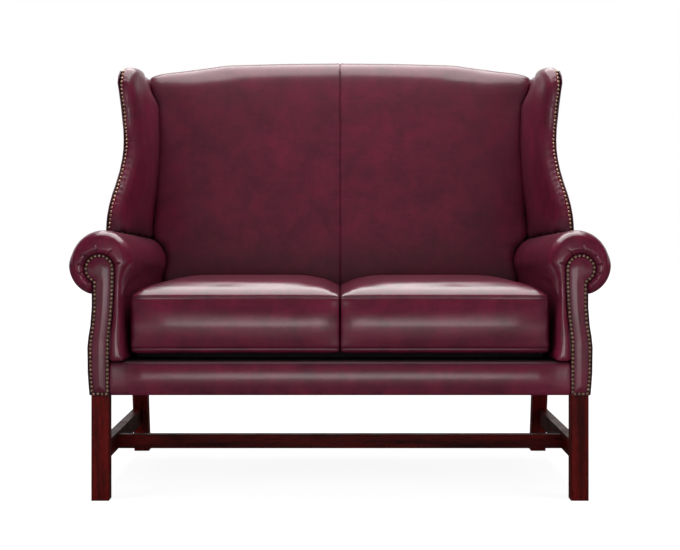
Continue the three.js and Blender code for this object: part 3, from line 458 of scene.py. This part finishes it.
def stuff(piece, node, pressure, limit):
    """Blows a pad up by limit at most. A neighbour holds it where it touches, or is just in front."""
    touch, free, look, hold = 0.003, 0.016, 0.07, 1.5
    frames = 20
    others = surroundings(but=(node,))
    everything = surroundings()
    points, normals = points_of(piece.data), normals_of(piece.data)
    held = np.zeros(len(points))
    for i, (point, normal) in enumerate(zip(points, normals)):
        point, normal = Vector(point), Vector(normal)
        gap = others.find_nearest(point)[3]
        ahead = everything.ray_cast(point + normal * limit, normal, look)[3]
        facing = 0.0 if ahead is None else 1.0 - ahead / look
        held[i] = max(1.0 - float(ease(gap, touch, free)), min(1.0, facing * hold))
    group = weigh(piece, "held", held)
    cloth = piece.modifiers.new("cloth", "CLOTH")
    cover = cloth.settings
    cover.quality = 5
    cover.mass = 0.3
    cover.tension_stiffness = 15
    cover.compression_stiffness = 15
    cover.shear_stiffness = 5
    cover.bending_stiffness = 2
    cover.use_pressure = True
    cover.uniform_pressure_force = pressure
    cover.vertex_group_mass = group
    cover.pin_stiffness = 1
    cover.effector_weights.gravity = 0
    cloth.collision_settings.use_collision = False
    cloth.point_cache.frame_start = 1
    cloth.point_cache.frame_end = frames
    for step in range(1, frames + 1):
        scene.frame_set(step)
    choose(piece)
    bpy.ops.object.modifier_apply(modifier=cloth.name)
    scene.frame_set(1)
    moved = points_of(piece.data) - points
    reach = np.linalg.norm(moved, axis=1)
    most = limit * (1 - held)
    scale = np.minimum(1, most / np.maximum(reach, 1e-9))
    move_points(piece.data, points + moved * scale[:, None])


def regain(piece, node, passes, evening):
    """Lets a smoothed pad out again to the size of its solid, by an even amount over its faces."""
    solid = surroundings(only=(node,))
    mesh = piece.data
    ends = np.array([edge.vertices[:] for edge in mesh.edges])
    first, second = ends[:, 0], ends[:, 1]
    count = len(mesh.vertices)
    joined = np.bincount(first, minlength=count) + np.bincount(second, minlength=count)
    for _ in range(passes):
        points, normals = points_of(mesh), normals_of(mesh)
        lack = np.zeros(count)
        for i, point in enumerate(points):
            spot, facing, _, away = solid.find_nearest(Vector(point))
            lack[i] = away if (spot - Vector(point)).dot(facing) > 0 else 0.0
        for _ in range(evening):
            around = np.bincount(first, lack[second], count) + np.bincount(second, lack[first], count)
            lack = (lack + around / joined) / 2
        move_points(mesh, points + normals * lack[:, None])


def upholster(node, name, voxel, soften, pressure, limit, evening=3, settle=2):
    """A stuffed cover in place of a padded node."""
    piece = copy_of(node, name)
    modify(piece, "REMESH", mode="VOXEL", voxel_size=voxel)
    modify(piece, "SMOOTH", factor=0.5, iterations=soften)
    regain(piece, node, 4, evening)
    stuff(piece, node, pressure, limit)
    modify(piece, "SMOOTH", factor=0.5, iterations=settle)
    regain(piece, node, 2, evening)
    modify(piece, "SUBSURF", levels=1, render_levels=1)
    piece.vertex_groups.clear()
    choose(piece)
    bpy.ops.object.shade_smooth()
    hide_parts(node)
    return piece


# Arm facings
# Keyhole shaped boards under a thin pad. The leather is pulled tight over the edge and held by a
# close row of nails all round, which dimples the pad.
nail_inset = 0.0045
nail_pitch = 0.0106
facing_voxel = 0.0026
facing_rise = 0.0060
rise_reach = 0.026
dimple_radius = 0.004
dimple_depth = 0.0008
nail_row_shade_and_dye = (0.0015, 0.0060)
rubbed_dye = 0.12


def facing_outline(side):
    """The facing's front edge as an ordered ring of [x, z] points."""
    shape = bmesh.new()
    shape.from_mesh(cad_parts["arm_facing_" + side].data)
    bmesh.ops.remove_doubles(shape, verts=shape.verts, dist=1e-6)
    ahead, square = 0.9, 0.5
    rim = [edge for edge in shape.edges if len(edge.link_faces) == 2
           and min(face.normal.y for face in edge.link_faces) < -ahead
           and max(face.normal.y for face in edge.link_faces) > -square]
    after = {}
    for edge in rim:
        for a, b in (edge.verts, reversed(edge.verts)):
            after.setdefault(a.index, []).append(b.index)
    places = {vertex.index: (vertex.co.x, vertex.co.z) for edge in rim for vertex in edge.verts}
    shape.free()
    start = min(after)
    ring, last, here = [start], None, start
    while True:
        step = [other for other in after[here] if other != last][0]
        if step == start:
            break
        ring.append(step)
        last, here = here, step
    return np.array([places[index] for index in ring])


def spaced(line, pitch, closed=False):
    """Points at an even pitch along a line of points."""
    line = np.vstack([line, line[:1]]) if closed else np.asarray(line)
    steps = np.linalg.norm(np.diff(line, axis=0), axis=1)
    run = np.concatenate([[0], np.cumsum(steps)])
    count = max(2, round(run[-1] / pitch))
    places = np.linspace(0, run[-1], count + (0 if closed else 1), endpoint=not closed)
    return np.stack([np.interp(places, run, line[:, axis]) for axis in range(line.shape[1])], axis=1)


def distance_to(ring, points):
    """How far each point lies from a closed line of points, in their plane."""
    best = np.full(len(points), 1e9)
    for a, b in zip(ring, np.roll(ring, -1, axis=0)):
        along = b - a
        share = np.clip((points - a) @ along / max(along @ along, 1e-12), 0, 1)
        best = np.minimum(best, np.linalg.norm(points - a - share[:, None] * along, axis=1))
    return best


def inset_ring(ring, inset):
    """The ring drawn in by inset, square to its own line, without the loops that sharp turns make."""
    fine = spaced(ring, nail_pitch / 4, closed=True)
    area = 0.5 * np.sum(fine[:, 0] * np.roll(fine[:, 1], -1) - np.roll(fine[:, 0], -1) * fine[:, 1])
    along = np.roll(fine, -3, axis=0) - np.roll(fine, 3, axis=0)
    along /= np.linalg.norm(along, axis=1)[:, None]
    inwards = np.stack([-along[:, 1], along[:, 0]], axis=1) * np.sign(area)
    drawn = fine + inwards * inset
    kept = distance_to(ring, drawn) > inset * 0.93
    return drawn[kept]


def mark_dye_and_shade(piece, darkness):
    """Lays the dark dye and painted shade that the leather's material reads."""
    layer = piece.data.attributes.new("seam", "FLOAT", "POINT")
    layer.data.foreach_set("value", darkness.astype(np.float32))


def dye_and_shade_near(piece, node, reach=0.012, most=0.75, far=0.07, least=0.28, only=()):
    """How much painted shade, with some dye in the folds, lies at each point: most against a neighbour,
    least further out, none from far on.
    """
    others = surroundings(but=(node,), only=only)
    gaps = np.array([others.find_nearest(Vector(point))[3] for point in points_of(piece.data)])
    return (most - least) * (1 - ease(gaps, 0.0, reach)) + least * (1 - ease(gaps, 0.0, far))


outlines = {side: facing_outline(side) for side in ("left", "right")}
facing_nails = {}
for side in ("left", "right"):
    facing = copy_of("arm_facing_" + side, "arm_facing_cover_" + side)
    modify(facing, "REMESH", mode="VOXEL", voxel_size=facing_voxel)
    modify(facing, "SMOOTH", factor=0.5, iterations=2)
    outline = outlines[side]
    ring = inset_ring(outline, nail_inset)
    rows = spaced(ring, nail_pitch, closed=True)
    facing_nails[side] = rows
    points = points_of(facing.data)
    flat = points[:, [0, 2]]
    edge = distance_to(outline, flat)
    row = distance_to(ring, flat)
    front = np.clip((points[:, 1].max() - points[:, 1]) / np.ptp(points[:, 1]), 0, 1)
    domed = np.sin(np.clip(row / rise_reach, 0, 1) * math.pi / 2) ** 0.8
    swell = np.where(edge > nail_inset, domed * facing_rise, 0)
    nearest = np.min([np.linalg.norm(flat - nail, axis=1) for nail in rows], axis=0)
    dimple = np.exp(-(nearest / dimple_radius) ** 2) * dimple_depth
    points[:, 1] -= (swell - dimple) * front
    move_points(facing.data, points)
    # Darker round the nail row: painted shade between and beside the nails, with some antique dye there
    # too.
    mark_dye_and_shade(facing, np.maximum(1.0 - ease(row, *nail_row_shade_and_dye), rubbed_dye))
    choose(facing)
    bpy.ops.object.shade_smooth()
    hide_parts("arm_facing_" + side)
    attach(facing, "settee")


# Arms
# Scroll arms: a roll of wadding over the arm rail, drawn down the inside to the seat. The front
# edge is a soft padded lip round the facing, pleated where the leather turns round the scroll.
scroll_head = (0.609, 0.588)
lip_finer = leg_front + 0.010
lip_width = 0.016
lip_length = 0.012
lip_hollow = 0.0080
lip_shade = 0.006
pleat_angles = (-55, -13, 13, 43, 84, 123, 164)
pleat_start = 0.036
pleat_end = 0.062
pleat_depth = 0.0019
pleat_width = 0.0015
pleat_fades = (0.006, 0.012)
puff_height = 0.0007
puff_ring = (0.048, 0.050, 0.068)
roll_centre = (0.614, 0.596)
roll_radius = 0.0760
roll_start = (leg_front - 0.004, leg_front + 0.022)
roll_fade = (-0.36, -0.10)
roll_arc = (-90, -70, 0, 40)

for side, sign in (("left", -1), ("right", 1)):
    arm = upholster("arm_pad_" + side, "arm_cover_" + side, voxel=0.009, soften=4,
                    pressure=3.0, limit=0.005)
    cut_finer(arm, 2, lambda middle: middle.y < lip_finer, smoothness=0.2)
    points, normals = points_of(arm.data), normals_of(arm.data)
    flat = points[:, [0, 2]]
    gap = distance_to(outlines[side], flat)
    behind = leg_front + lip_length - points[:, 1]
    ahead = ease(-normals[:, 1], 0.1, 0.6) * ease(behind, 0.0, lip_length)
    hollow = lip_hollow * (1 - np.sin(np.clip(gap / lip_width, 0, 1) * math.pi / 2))
    around = flat - np.array([roll_centre[0] * sign, roll_centre[1]])
    distance = np.linalg.norm(around, axis=1)
    turns = np.degrees(np.arctan2(around[:, 1], around[:, 0] * sign))
    outward = (normals[:, 0] * around[:, 0] + normals[:, 2] * around[:, 1]) / distance
    full = ease(turns, *roll_arc[:2]) * (1 - ease(turns, *roll_arc[2:])) * ease(outward, 0.2, 0.7)
    full *= 1 - ease(points[:, 1], *roll_fade)
    full *= ease(points[:, 1], *roll_start)
    fuller = 1 + full * np.maximum(roll_radius / distance - 1, 0)
    points[:, [0, 2]] += around * (fuller - 1)[:, None]
    flat = points[:, [0, 2]]
    spoke = flat - np.array([scroll_head[0] * sign, scroll_head[1]])
    turns = np.degrees(np.arctan2(spoke[:, 1], spoke[:, 0] * sign))
    pleats = np.zeros(len(points))
    for angle in pleat_angles:
        turn = math.radians(angle)
        axis = np.array([math.cos(turn) * sign, math.sin(turn)])
        aside = np.abs(spoke[:, 0] * axis[1] - spoke[:, 1] * axis[0])
        along = spoke @ axis
        within = ease(along, pleat_start, pleat_start + pleat_fades[0])
        within *= 1 - ease(along, pleat_end - pleat_fades[1], pleat_end)
        pleats = np.maximum(pleats, np.exp(-(aside / pleat_width) ** 2) * within)
    puffs = np.zeros(len(points))
    for low, high in zip(pleat_angles, pleat_angles[1:]):
        share = np.clip((turns - low) / (high - low), 0, 1)
        puffs = np.maximum(puffs, np.sin(share * math.pi) ** 0.6)
    radius = np.linalg.norm(spoke, axis=1)
    puffs *= ease(radius, pleat_start, puff_ring[0]) * (1 - ease(radius, *puff_ring[1:]))
    points[:, 1] += (hollow + pleats * pleat_depth - puffs * puff_height) * ahead
    move_points(arm.data, points)
    # Painted shade: darker against neighbouring parts, along the pleats' creases and in the hollow round
    # the facing, with some dye there too.
    shade_and_dye = np.maximum(dye_and_shade_near(arm, "arm_pad_" + side) * (1 - ahead), pleats * ahead * 0.6)
    mark_dye_and_shade(arm, np.maximum(shade_and_dye, (1 - ease(gap, 0.0, lip_shade)) * ahead * 0.7))
    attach(arm, "settee")


# Wings
# The wings are padded over their inner face and round the front edge, down onto the arms. At the
# top they thin out towards the back, whose corners reach over them there.
ear_range = (0.96, 1.06)
ear_smoothing = 110
ear_fall = 0.006
corner_shift = 0.022
corner_range = (1.04, 1.12)
pad_across = (0.555, 0.615)
thinned_from = (0.04, 0.20)
fall_back = (0.04, 0.28)
fall_up = (1.02, 1.12)
for side, sign in (("left", -1), ("right", 1)):
    node = "wing_pad_" + side
    wing = upholster(node, "wing_cover_" + side, voxel=0.008, soften=14, evening=14, settle=6,
                     pressure=3.0, limit=0.005)
    smooth_where(wing, ease(points_of(wing.data)[:, 2], *ear_range), ear_smoothing)
    regain(wing, node, 1, evening=60)
    points = points_of(wing.data)
    thinner = (1 - ease(np.abs(points[:, 0]), *pad_across)) * ease(points[:, 1], *thinned_from)
    points[:, 0] += sign * corner_shift * thinner * ease(points[:, 2], *corner_range)
    points[:, 2] -= ear_fall * ease(points[:, 1], *fall_back) * ease(points[:, 2], *fall_up)
    move_points(wing.data, points)
    # Painted shade: the outer side of the front roll, the foot where it meets the arm, and the edges
    # against the back and arm are darker, with some dye in the folds.
    outer_side_shade = ease(normals_of(wing.data)[:, 0] * sign, 0.35, 0.8) * 0.9
    foot_shade = dye_and_shade_near(wing, node, reach=0.02, most=0.85, far=0.10, least=0.55, only=("arm_pad_" + side,))
    edges = dye_and_shade_near(wing, node, most=0.45, least=0.2)
    mark_dye_and_shade(wing, np.maximum(np.maximum(foot_shade, edges), outer_side_shade))
    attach(wing, "settee")


# Inside back
# One deep pad in two halves of leather joined by an upright seam, rolled over the crest. Its sides
# press against the wings, and its upper corners reach out over them.
seam_depth = 0.0026
seam_width = 0.0022
back_darkening = 0.18
crest_range = (0.98, 1.08)
side_press = 0.006
side_edge = (0.47, 0.52)
corner_edge = (0.40, 0.53)
above_arms = (0.70, 0.80)
seam_finer = 0.010
seam_puff = 0.0008
seam_puff_place = 0.006
seam_puff_width = 0.005
thread_width = 0.0015
crest_smoothing = 50
back = upholster("inside_back", "inside_back_cover", voxel=0.012, soften=4, evening=6, settle=8,
                 pressure=3.0, limit=0.007)
smooth_where(back, ease(points_of(back.data)[:, 2], *crest_range), crest_smoothing)
regain(back, "inside_back", 1, evening=60)
points = points_of(back.data)
aside = np.abs(points[:, 0])
outwards = side_press * ease(aside, *side_edge) * ease(points[:, 2], *above_arms)
outwards += corner_shift * ease(aside, *corner_edge) * ease(points[:, 2], *corner_range)
points[:, 0] += np.sign(points[:, 0]) * outwards
move_points(back.data, points)
cut_finer(back, 4, lambda middle: abs(middle.x) < seam_finer)
points, normals = points_of(back.data), normals_of(back.data)
groove = np.exp(-(points[:, 0] / seam_width) ** 2)
puffed = np.exp(-((np.abs(points[:, 0]) - seam_puff_place) / seam_puff_width) ** 2)
move_points(back.data, points + normals * (puffed * seam_puff - groove * seam_depth)[:, None])
cushions = ("seat_cushion_left", "seat_cushion_right")
sides = ("wing_pad_left", "wing_pad_right", "arm_pad_left", "arm_pad_right")
# Painted shade: darker towards the cushions below and in the grooves against the wings and arms. A dark
# line of dye follows the middle seam, and the whole back is a little darker and duller.
low_shade = dye_and_shade_near(back, "inside_back", reach=0.05, most=0.95, far=0.24, least=0.55, only=cushions)
side_shade = dye_and_shade_near(back, "inside_back", reach=0.012, most=0.42, far=0.11, least=0.32, only=sides)
seam_dye = np.exp(-(points[:, 0] / thread_width) ** 2) * 0.7
mark_dye_and_shade(back, np.maximum(np.maximum(low_shade, side_shade), np.maximum(seam_dye, back_darkening)))
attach(back, "settee")


# Rail cover
# The leather below the cushions, drawn down over a thin pad on the front rail, which swells it
# out between the arms. Its top is painted darker as painted shade under the cushions, and its
# ends as painted shade against the arms.
rail_swell = 0.004
rail_ends = (0.50, 0.55)
top_edge = (0.84, 0.99)
rail = upholster("rail_cover", "front_rail_cover", voxel=0.006, soften=3,
                 pressure=2.0, limit=0.003)
points, normals = points_of(rail.data), normals_of(rail.data)
height = (points[:, 2] - points[:, 2].min()) / np.ptp(points[:, 2])
swell = np.sin(np.clip(height, 0, 1) * math.pi) * ease(-normals[:, 1], 0.3, 0.8) * rail_swell
points[:, 1] -= swell * (1 - ease(np.abs(points[:, 0]), *rail_ends))
move_points(rail.data, points)
# Painted shade: darker along the top under the cushions and at the ends against the arms.
top_shade = ease(height, *top_edge) * 0.9
mark_dye_and_shade(rail, np.maximum(dye_and_shade_near(rail, "rail_cover", only=sides), top_shade))
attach(rail, "settee")


# Outside panels
# Leather drawn over a thin pad on the outer sides and the back, blind tacked at the edges, where
# it is drawn tight. The outside back has a middle seam in line with the one in front.
panel_edge = 0.0015
panel_step = 0.02
panel_evening = 30
panel_rise = 0.0028
panel_margin = 0.07
back_lean = math.radians(4.5)
tacked_edge = 0.010
front_edge_shade = (0.006, 0.014)


def gridded(piece, axes, step, extra=()):
    """Cuts a flat piece across at an even pitch, and at the extra [axis, place] planes."""
    low, high = points_of(piece.data).min(axis=0), points_of(piece.data).max(axis=0)
    planes = [(axis, place) for axis in axes for place in np.arange(low[axis] + step, high[axis], step)]
    choose(piece)
    bpy.ops.object.mode_set(mode="EDIT")
    for axis, place in planes + list(extra):
        spot, along = [0.0, 0.0, 0.0], [0.0, 0.0, 0.0]
        spot[axis], along[axis] = place, 1.0
        bpy.ops.mesh.select_all(action="SELECT")
        bpy.ops.mesh.bisect(plane_co=spot, plane_no=along)
    bpy.ops.object.mode_set(mode="OBJECT")


def puff(piece, outward, rise, margin, evening=0):
    """Raises a flat piece's outer face away from its edges, and tells how far each point is from them."""
    mesh = piece.data
    corners = [vertex.co.copy() for vertex in mesh.vertices]
    rim = [list(face.vertices) for face in mesh.polygons if abs(face.normal.dot(outward)) < 0.5]
    tree = BVHTree.FromPolygons(corners, rim)
    inwards = np.array([tree.find_nearest(corner)[3] for corner in corners])
    if evening:
        smooth_where(piece, ease(inwards, 0.0, margin / 2), evening)
    facing_out = ease(normals_of(mesh) @ np.array(outward), 0.5, 0.9)
    lift = np.sin(np.clip(inwards / margin, 0, 1) * math.pi / 2) * rise * facing_out
    move_points(mesh, points_of(mesh) + lift[:, None] * np.array(outward)[None, :])
    return inwards, facing_out


seam_planes = [(0, place) for place in (-0.006, -0.003, -0.0012, 0.0012, 0.003, 0.006)]
backward = Vector((0, math.cos(back_lean), -math.sin(back_lean)))
panels = [("outside_back_panel", "outside_back_cover", backward, (0, 2), seam_planes)]
for side, sign in (("left", -1), ("right", 1)):
    outward = Vector((sign, 0, 0))
    panels.append(("outside_arm_panel_" + side, "outside_arm_cover_" + side, outward, (1, 2), ()))
    panels.append(("outside_wing_panel_" + side, "outside_wing_cover_" + side, outward, (1, 2), ()))
for node, name, outward, axes, extra in panels:
    panel = copy_of(node, name)
    modify(panel, "BEVEL", width=panel_edge, segments=2, limit_method="ANGLE")
    gridded(panel, axes, panel_step, extra)
    inwards, facing_out = puff(panel, outward, panel_rise, panel_margin, panel_evening)
    points = points_of(panel.data)
    dark = (1 - ease(inwards, 0.0, tacked_edge)) * 0.45
    if axes[0] == 1:
        front = points[:, 1] - points[:, 1].min()
        # Painted shade: the side panels darken towards their front edges, which lie in shade beside the
        # front rolls.
        dark = np.maximum(dark, 1 - ease(front, *front_edge_shade))
    else:
        groove = np.exp(-(points[:, 0] / seam_width) ** 2)
        groove *= facing_out * ease(inwards, 0.0, tacked_edge)
        move_points(panel.data, points - (groove * seam_depth)[:, None] * np.array(outward)[None, :])
        dark = np.maximum(dark, groove * 0.7)
    mark_dye_and_shade(panel, dark)
    choose(panel)
    bpy.ops.object.shade_smooth_by_angle(angle=math.radians(40))
    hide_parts(node)
    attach(panel, "settee")


# Nails
# Domed brass nails with a dark antique finish, set close in rows round the facings and up the
# front edges of the wings. One is modelled and copied along each row.
def tarnished_brass():
    brass = Finish("nail_brass")
    where = brass.place()
    bloom = brass.cloudy(where, size=0.006, detail=4)
    colour = brass.node("ShaderNodeValToRGB", {"stops": [
        (0.35, tint(138, 110, 88)), (0.55, tint(186, 154, 126)), (0.75, tint(214, 184, 156))]}, {0: bloom})
    return brass.dress(Base_Color=colour, Metallic=0.8, Roughness=brass.spread(bloom, 0.3, 0.7, 0.38, 0.28))


nail_radius = 0.0036
nail_height = 0.0025
brass = tarnished_brass()
bpy.ops.object.select_all(action="DESELECT")
bpy.ops.mesh.primitive_uv_sphere_add(segments=10, ring_count=8, radius=nail_radius, location=(0, 0, 0))
nail = bpy.context.active_object
nail.name = "nail"
bpy.ops.object.mode_set(mode="EDIT")
bpy.ops.mesh.select_all(action="SELECT")
bpy.ops.mesh.bisect(plane_co=(0, 0, 0), plane_no=(0, 0, 1), clear_inner=True, use_fill=True)
bpy.ops.mesh.select_all(action="SELECT")
bpy.ops.transform.resize(value=(1, 1, nail_height / nail_radius))
bpy.ops.object.mode_set(mode="OBJECT")
bpy.ops.object.shade_smooth_by_angle(angle=math.radians(50))
nail.data.materials.append(brass)


def covers_tree(names):
    """A search tree of the faces of finished covers."""
    corners, faces = [], []
    for name in names:
        piece = bpy.data.objects[name]
        start = len(corners)
        corners.extend(v.co.copy() for v in piece.data.vertices)
        faces.extend([start + i for i in face.vertices] for face in piece.data.polygons)
    return BVHTree.FromPolygons(corners, faces)


def nail_row(name, places, leather_tree):
    """A row of nails seated on the leather at [x, z] places, seen from the front."""
    seat_reach, sunk, forwards = nail_radius * 0.7, 0.0004, Vector((0, -1.5, 0))
    row = []
    for x, z in places:
        hits = []
        for dx, dz in ((0, 0), (1, 0), (-1, 0), (0, 1), (0, -1)):
            start = Vector((x + dx * seat_reach, leg_front - 0.2, z + dz * seat_reach))
            spot, normal, _, _ = leather_tree.ray_cast(start, Vector((0, 1, 0)))
            if spot is not None:
                hits.append((spot, normal))
        if not hits:
            continue
        front = sorted(spot.y for spot, _ in hits)[len(hits) // 2]
        facing_way = sum((normal for _, normal in hits), forwards).normalized()
        copied = nail.copy()
        copied.data = nail.data.copy()
        turn = facing_way.to_track_quat("Z", "Y").to_matrix().to_4x4()
        copied.matrix_world = Matrix.Translation(Vector((x, front, z)) - facing_way * sunk) @ turn
        scene.collection.objects.link(copied)
        row.append(copied)
    choose(*row)
    bpy.ops.object.join()
    joined = bpy.context.active_object
    bpy.ops.object.transform_apply(location=True, rotation=True, scale=True)
    joined.name = name
    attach(joined, "settee")


def wing_nail_line(sign, tree):
    """Places up the wing's front edge, just inside where it turns to the outer side."""
    inset, turn, start, end = 0.0030, 0.007, 0.690, 1.126
    outermost, innermost, step = 0.645, 0.575, 0.001
    line = []
    for z in np.linspace(start, end, 60):
        fronts = {}
        for x in np.arange(outermost, innermost, -step):
            spot = tree.ray_cast(Vector((x * sign, -0.6, z)), Vector((0, 1, 0)), 0.65)[0]
            if spot is not None:
                fronts[x] = spot.y
        foremost = min(fronts.values())
        line.append((sign * (max(x for x, y in fronts.items() if y < foremost + turn) - inset), z))
    line = np.array(line)
    for _ in range(6):
        line[1:-1, 0] = (line[:-2, 0] + 2 * line[1:-1, 0] + line[2:, 0]) / 4
    return spaced(line, nail_pitch)


for side, sign in (("left", -1), ("right", 1)):
    arm_tree = covers_tree(["arm_facing_cover_" + side, "arm_cover_" + side])
    nail_row("arm_nails_" + side, facing_nails[side], arm_tree)
    wing_tree = covers_tree(["wing_cover_" + side])
    nail_row("wing_nails_" + side, wing_nail_line(sign, wing_tree), wing_tree)
bpy.data.objects.remove(nail)


# Deck pad
# Needled felt under the loose cushions, which have pressed it a little hollow and uneven. Its
# edges are rounded over.
felt_edge = 0.005
felt_step = 0.025
felt_dip = 0.0015
felt_margin = 0.12
waves_per_metre = 14
wave_height = 0.0012
top_layer = 0.008
felt_pad = copy_of("deck_pad", "deck_felt")
felt_pad.data.materials.clear()
felt_pad.data.materials.append(felt)
modify(felt_pad, "BEVEL", width=felt_edge, segments=3, limit_method="ANGLE")
gridded(felt_pad, (0, 1), felt_step)
puff(felt_pad, Vector((0, 0, 1)), -felt_dip, felt_margin)
points = points_of(felt_pad.data)
waves = np.array([noise.noise(Vector(point) * waves_per_metre) for point in points])
top = points[:, 2].max()
points[:, 2] += waves * wave_height * ease(points[:, 2], top - top_layer, top)
move_points(felt_pad.data, points)
choose(felt_pad)
bpy.ops.object.shade_smooth_by_angle(angle=math.radians(50))
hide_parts("deck_pad")
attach(felt_pad, "settee")


# Seat cushions
# Two loose boxed cushions, crowned on top, with a fine corded seam round the upper and lower
# edges of the border. Their inner sides are pressed flat against each other.
cord_radius = 0.0015
cord_smoothing = 12
seam_heights = (0.384, 0.5136)
seam_band = 0.006
border_range = (0.006, 0.03)
crown_range = (0.004, 0.018)
cushion_smoothing = 50
press_gap = 0.0004
press_reach = 0.020
press_curve = 1.2
border_swell = 0.003
channel_width = 0.0028
channel_depth = 0.0016


def by_a_seam(middle):
    return min(abs(middle.z - height) for height in seam_heights) < seam_band


for side in ("left", "right"):
    cushion = upholster("seat_cushion_" + side, "seat_cushion_cover_" + side, voxel=0.0078,
                        soften=3, settle=6, pressure=3.0, limit=0.005)
    cut_finer(cushion, 2, by_a_seam)
    points, normals = points_of(cushion.data), normals_of(cushion.data)
    within = np.minimum(points[:, 2] - seam_heights[0], seam_heights[1] - points[:, 2])
    border = ease(within, *border_range) * ease(1 - np.abs(normals[:, 2]), 0.6, 0.9)
    crown = ease(points[:, 2] - seam_heights[1], *crown_range)
    smooth_where(cushion, np.maximum(border, crown), cushion_smoothing)
    points = points_of(cushion.data)
    height = np.clip((points[:, 2] - seam_heights[0]) / np.ptp(seam_heights), 0, 1)
    points[:, 1] -= np.sin(height * math.pi) * ease(-normals[:, 1], 0.3, 0.9) * border_swell
    apart = np.abs(points[:, 0])
    pressed = press_gap + np.maximum(apart - press_gap, 0) * (apart / press_reach) ** press_curve
    points[:, 0] = np.sign(points[:, 0].mean()) * np.where(apart < press_reach, pressed, apart)
    near = np.min([np.abs(points[:, 2] - height) for height in seam_heights], axis=0)
    channel = np.exp(-(near / channel_width) ** 2) * ease(1 - np.abs(normals[:, 2]), 0.1, 0.4)
    move_points(cushion.data, points - normals * (channel * channel_depth)[:, None])
    # Painted shade against the other cushion, the arms and the back, and dark dye in the channels of the
    # corded seams.
    shade_and_dye = dye_and_shade_near(cushion, "seat_cushion_" + side, reach=0.006, most=0.5, far=0.03, least=0.12)
    mark_dye_and_shade(cushion, np.maximum(shade_and_dye, channel * 0.7))
    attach(cushion, "cushion_" + side)
    for place, height in zip(("lower", "upper"), seam_heights):
        cord = cushion.copy()
        cord.data = cushion.data.copy()
        cord.name = f"cushion_{place}_seam_{side}"
        for key in list(cord.keys()):
            del cord[key]
        cord.parent = None
        scene.collection.objects.link(cord)
        choose(cord)
        bpy.ops.object.mode_set(mode="EDIT")
        bpy.ops.mesh.select_all(action="SELECT")
        bpy.ops.mesh.bisect(plane_co=(0, 0, height), plane_no=(0, 0, 1), clear_inner=True,
                            clear_outer=True)
        bpy.ops.mesh.select_all(action="SELECT")
        bpy.ops.mesh.vertices_smooth(factor=0.5, repeat=cord_smoothing)
        bpy.ops.object.mode_set(mode="OBJECT")
        bpy.ops.object.convert(target="CURVE")
        line = bpy.context.active_object
        line.data.bevel_depth = cord_radius
        line.data.bevel_resolution = 2
        bpy.ops.object.convert(target="MESH")
        bpy.ops.object.shade_smooth()
        line = bpy.context.active_object
        line.data.materials.clear()
        line.data.materials.append(leather)
        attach(line, "cushion_" + side)
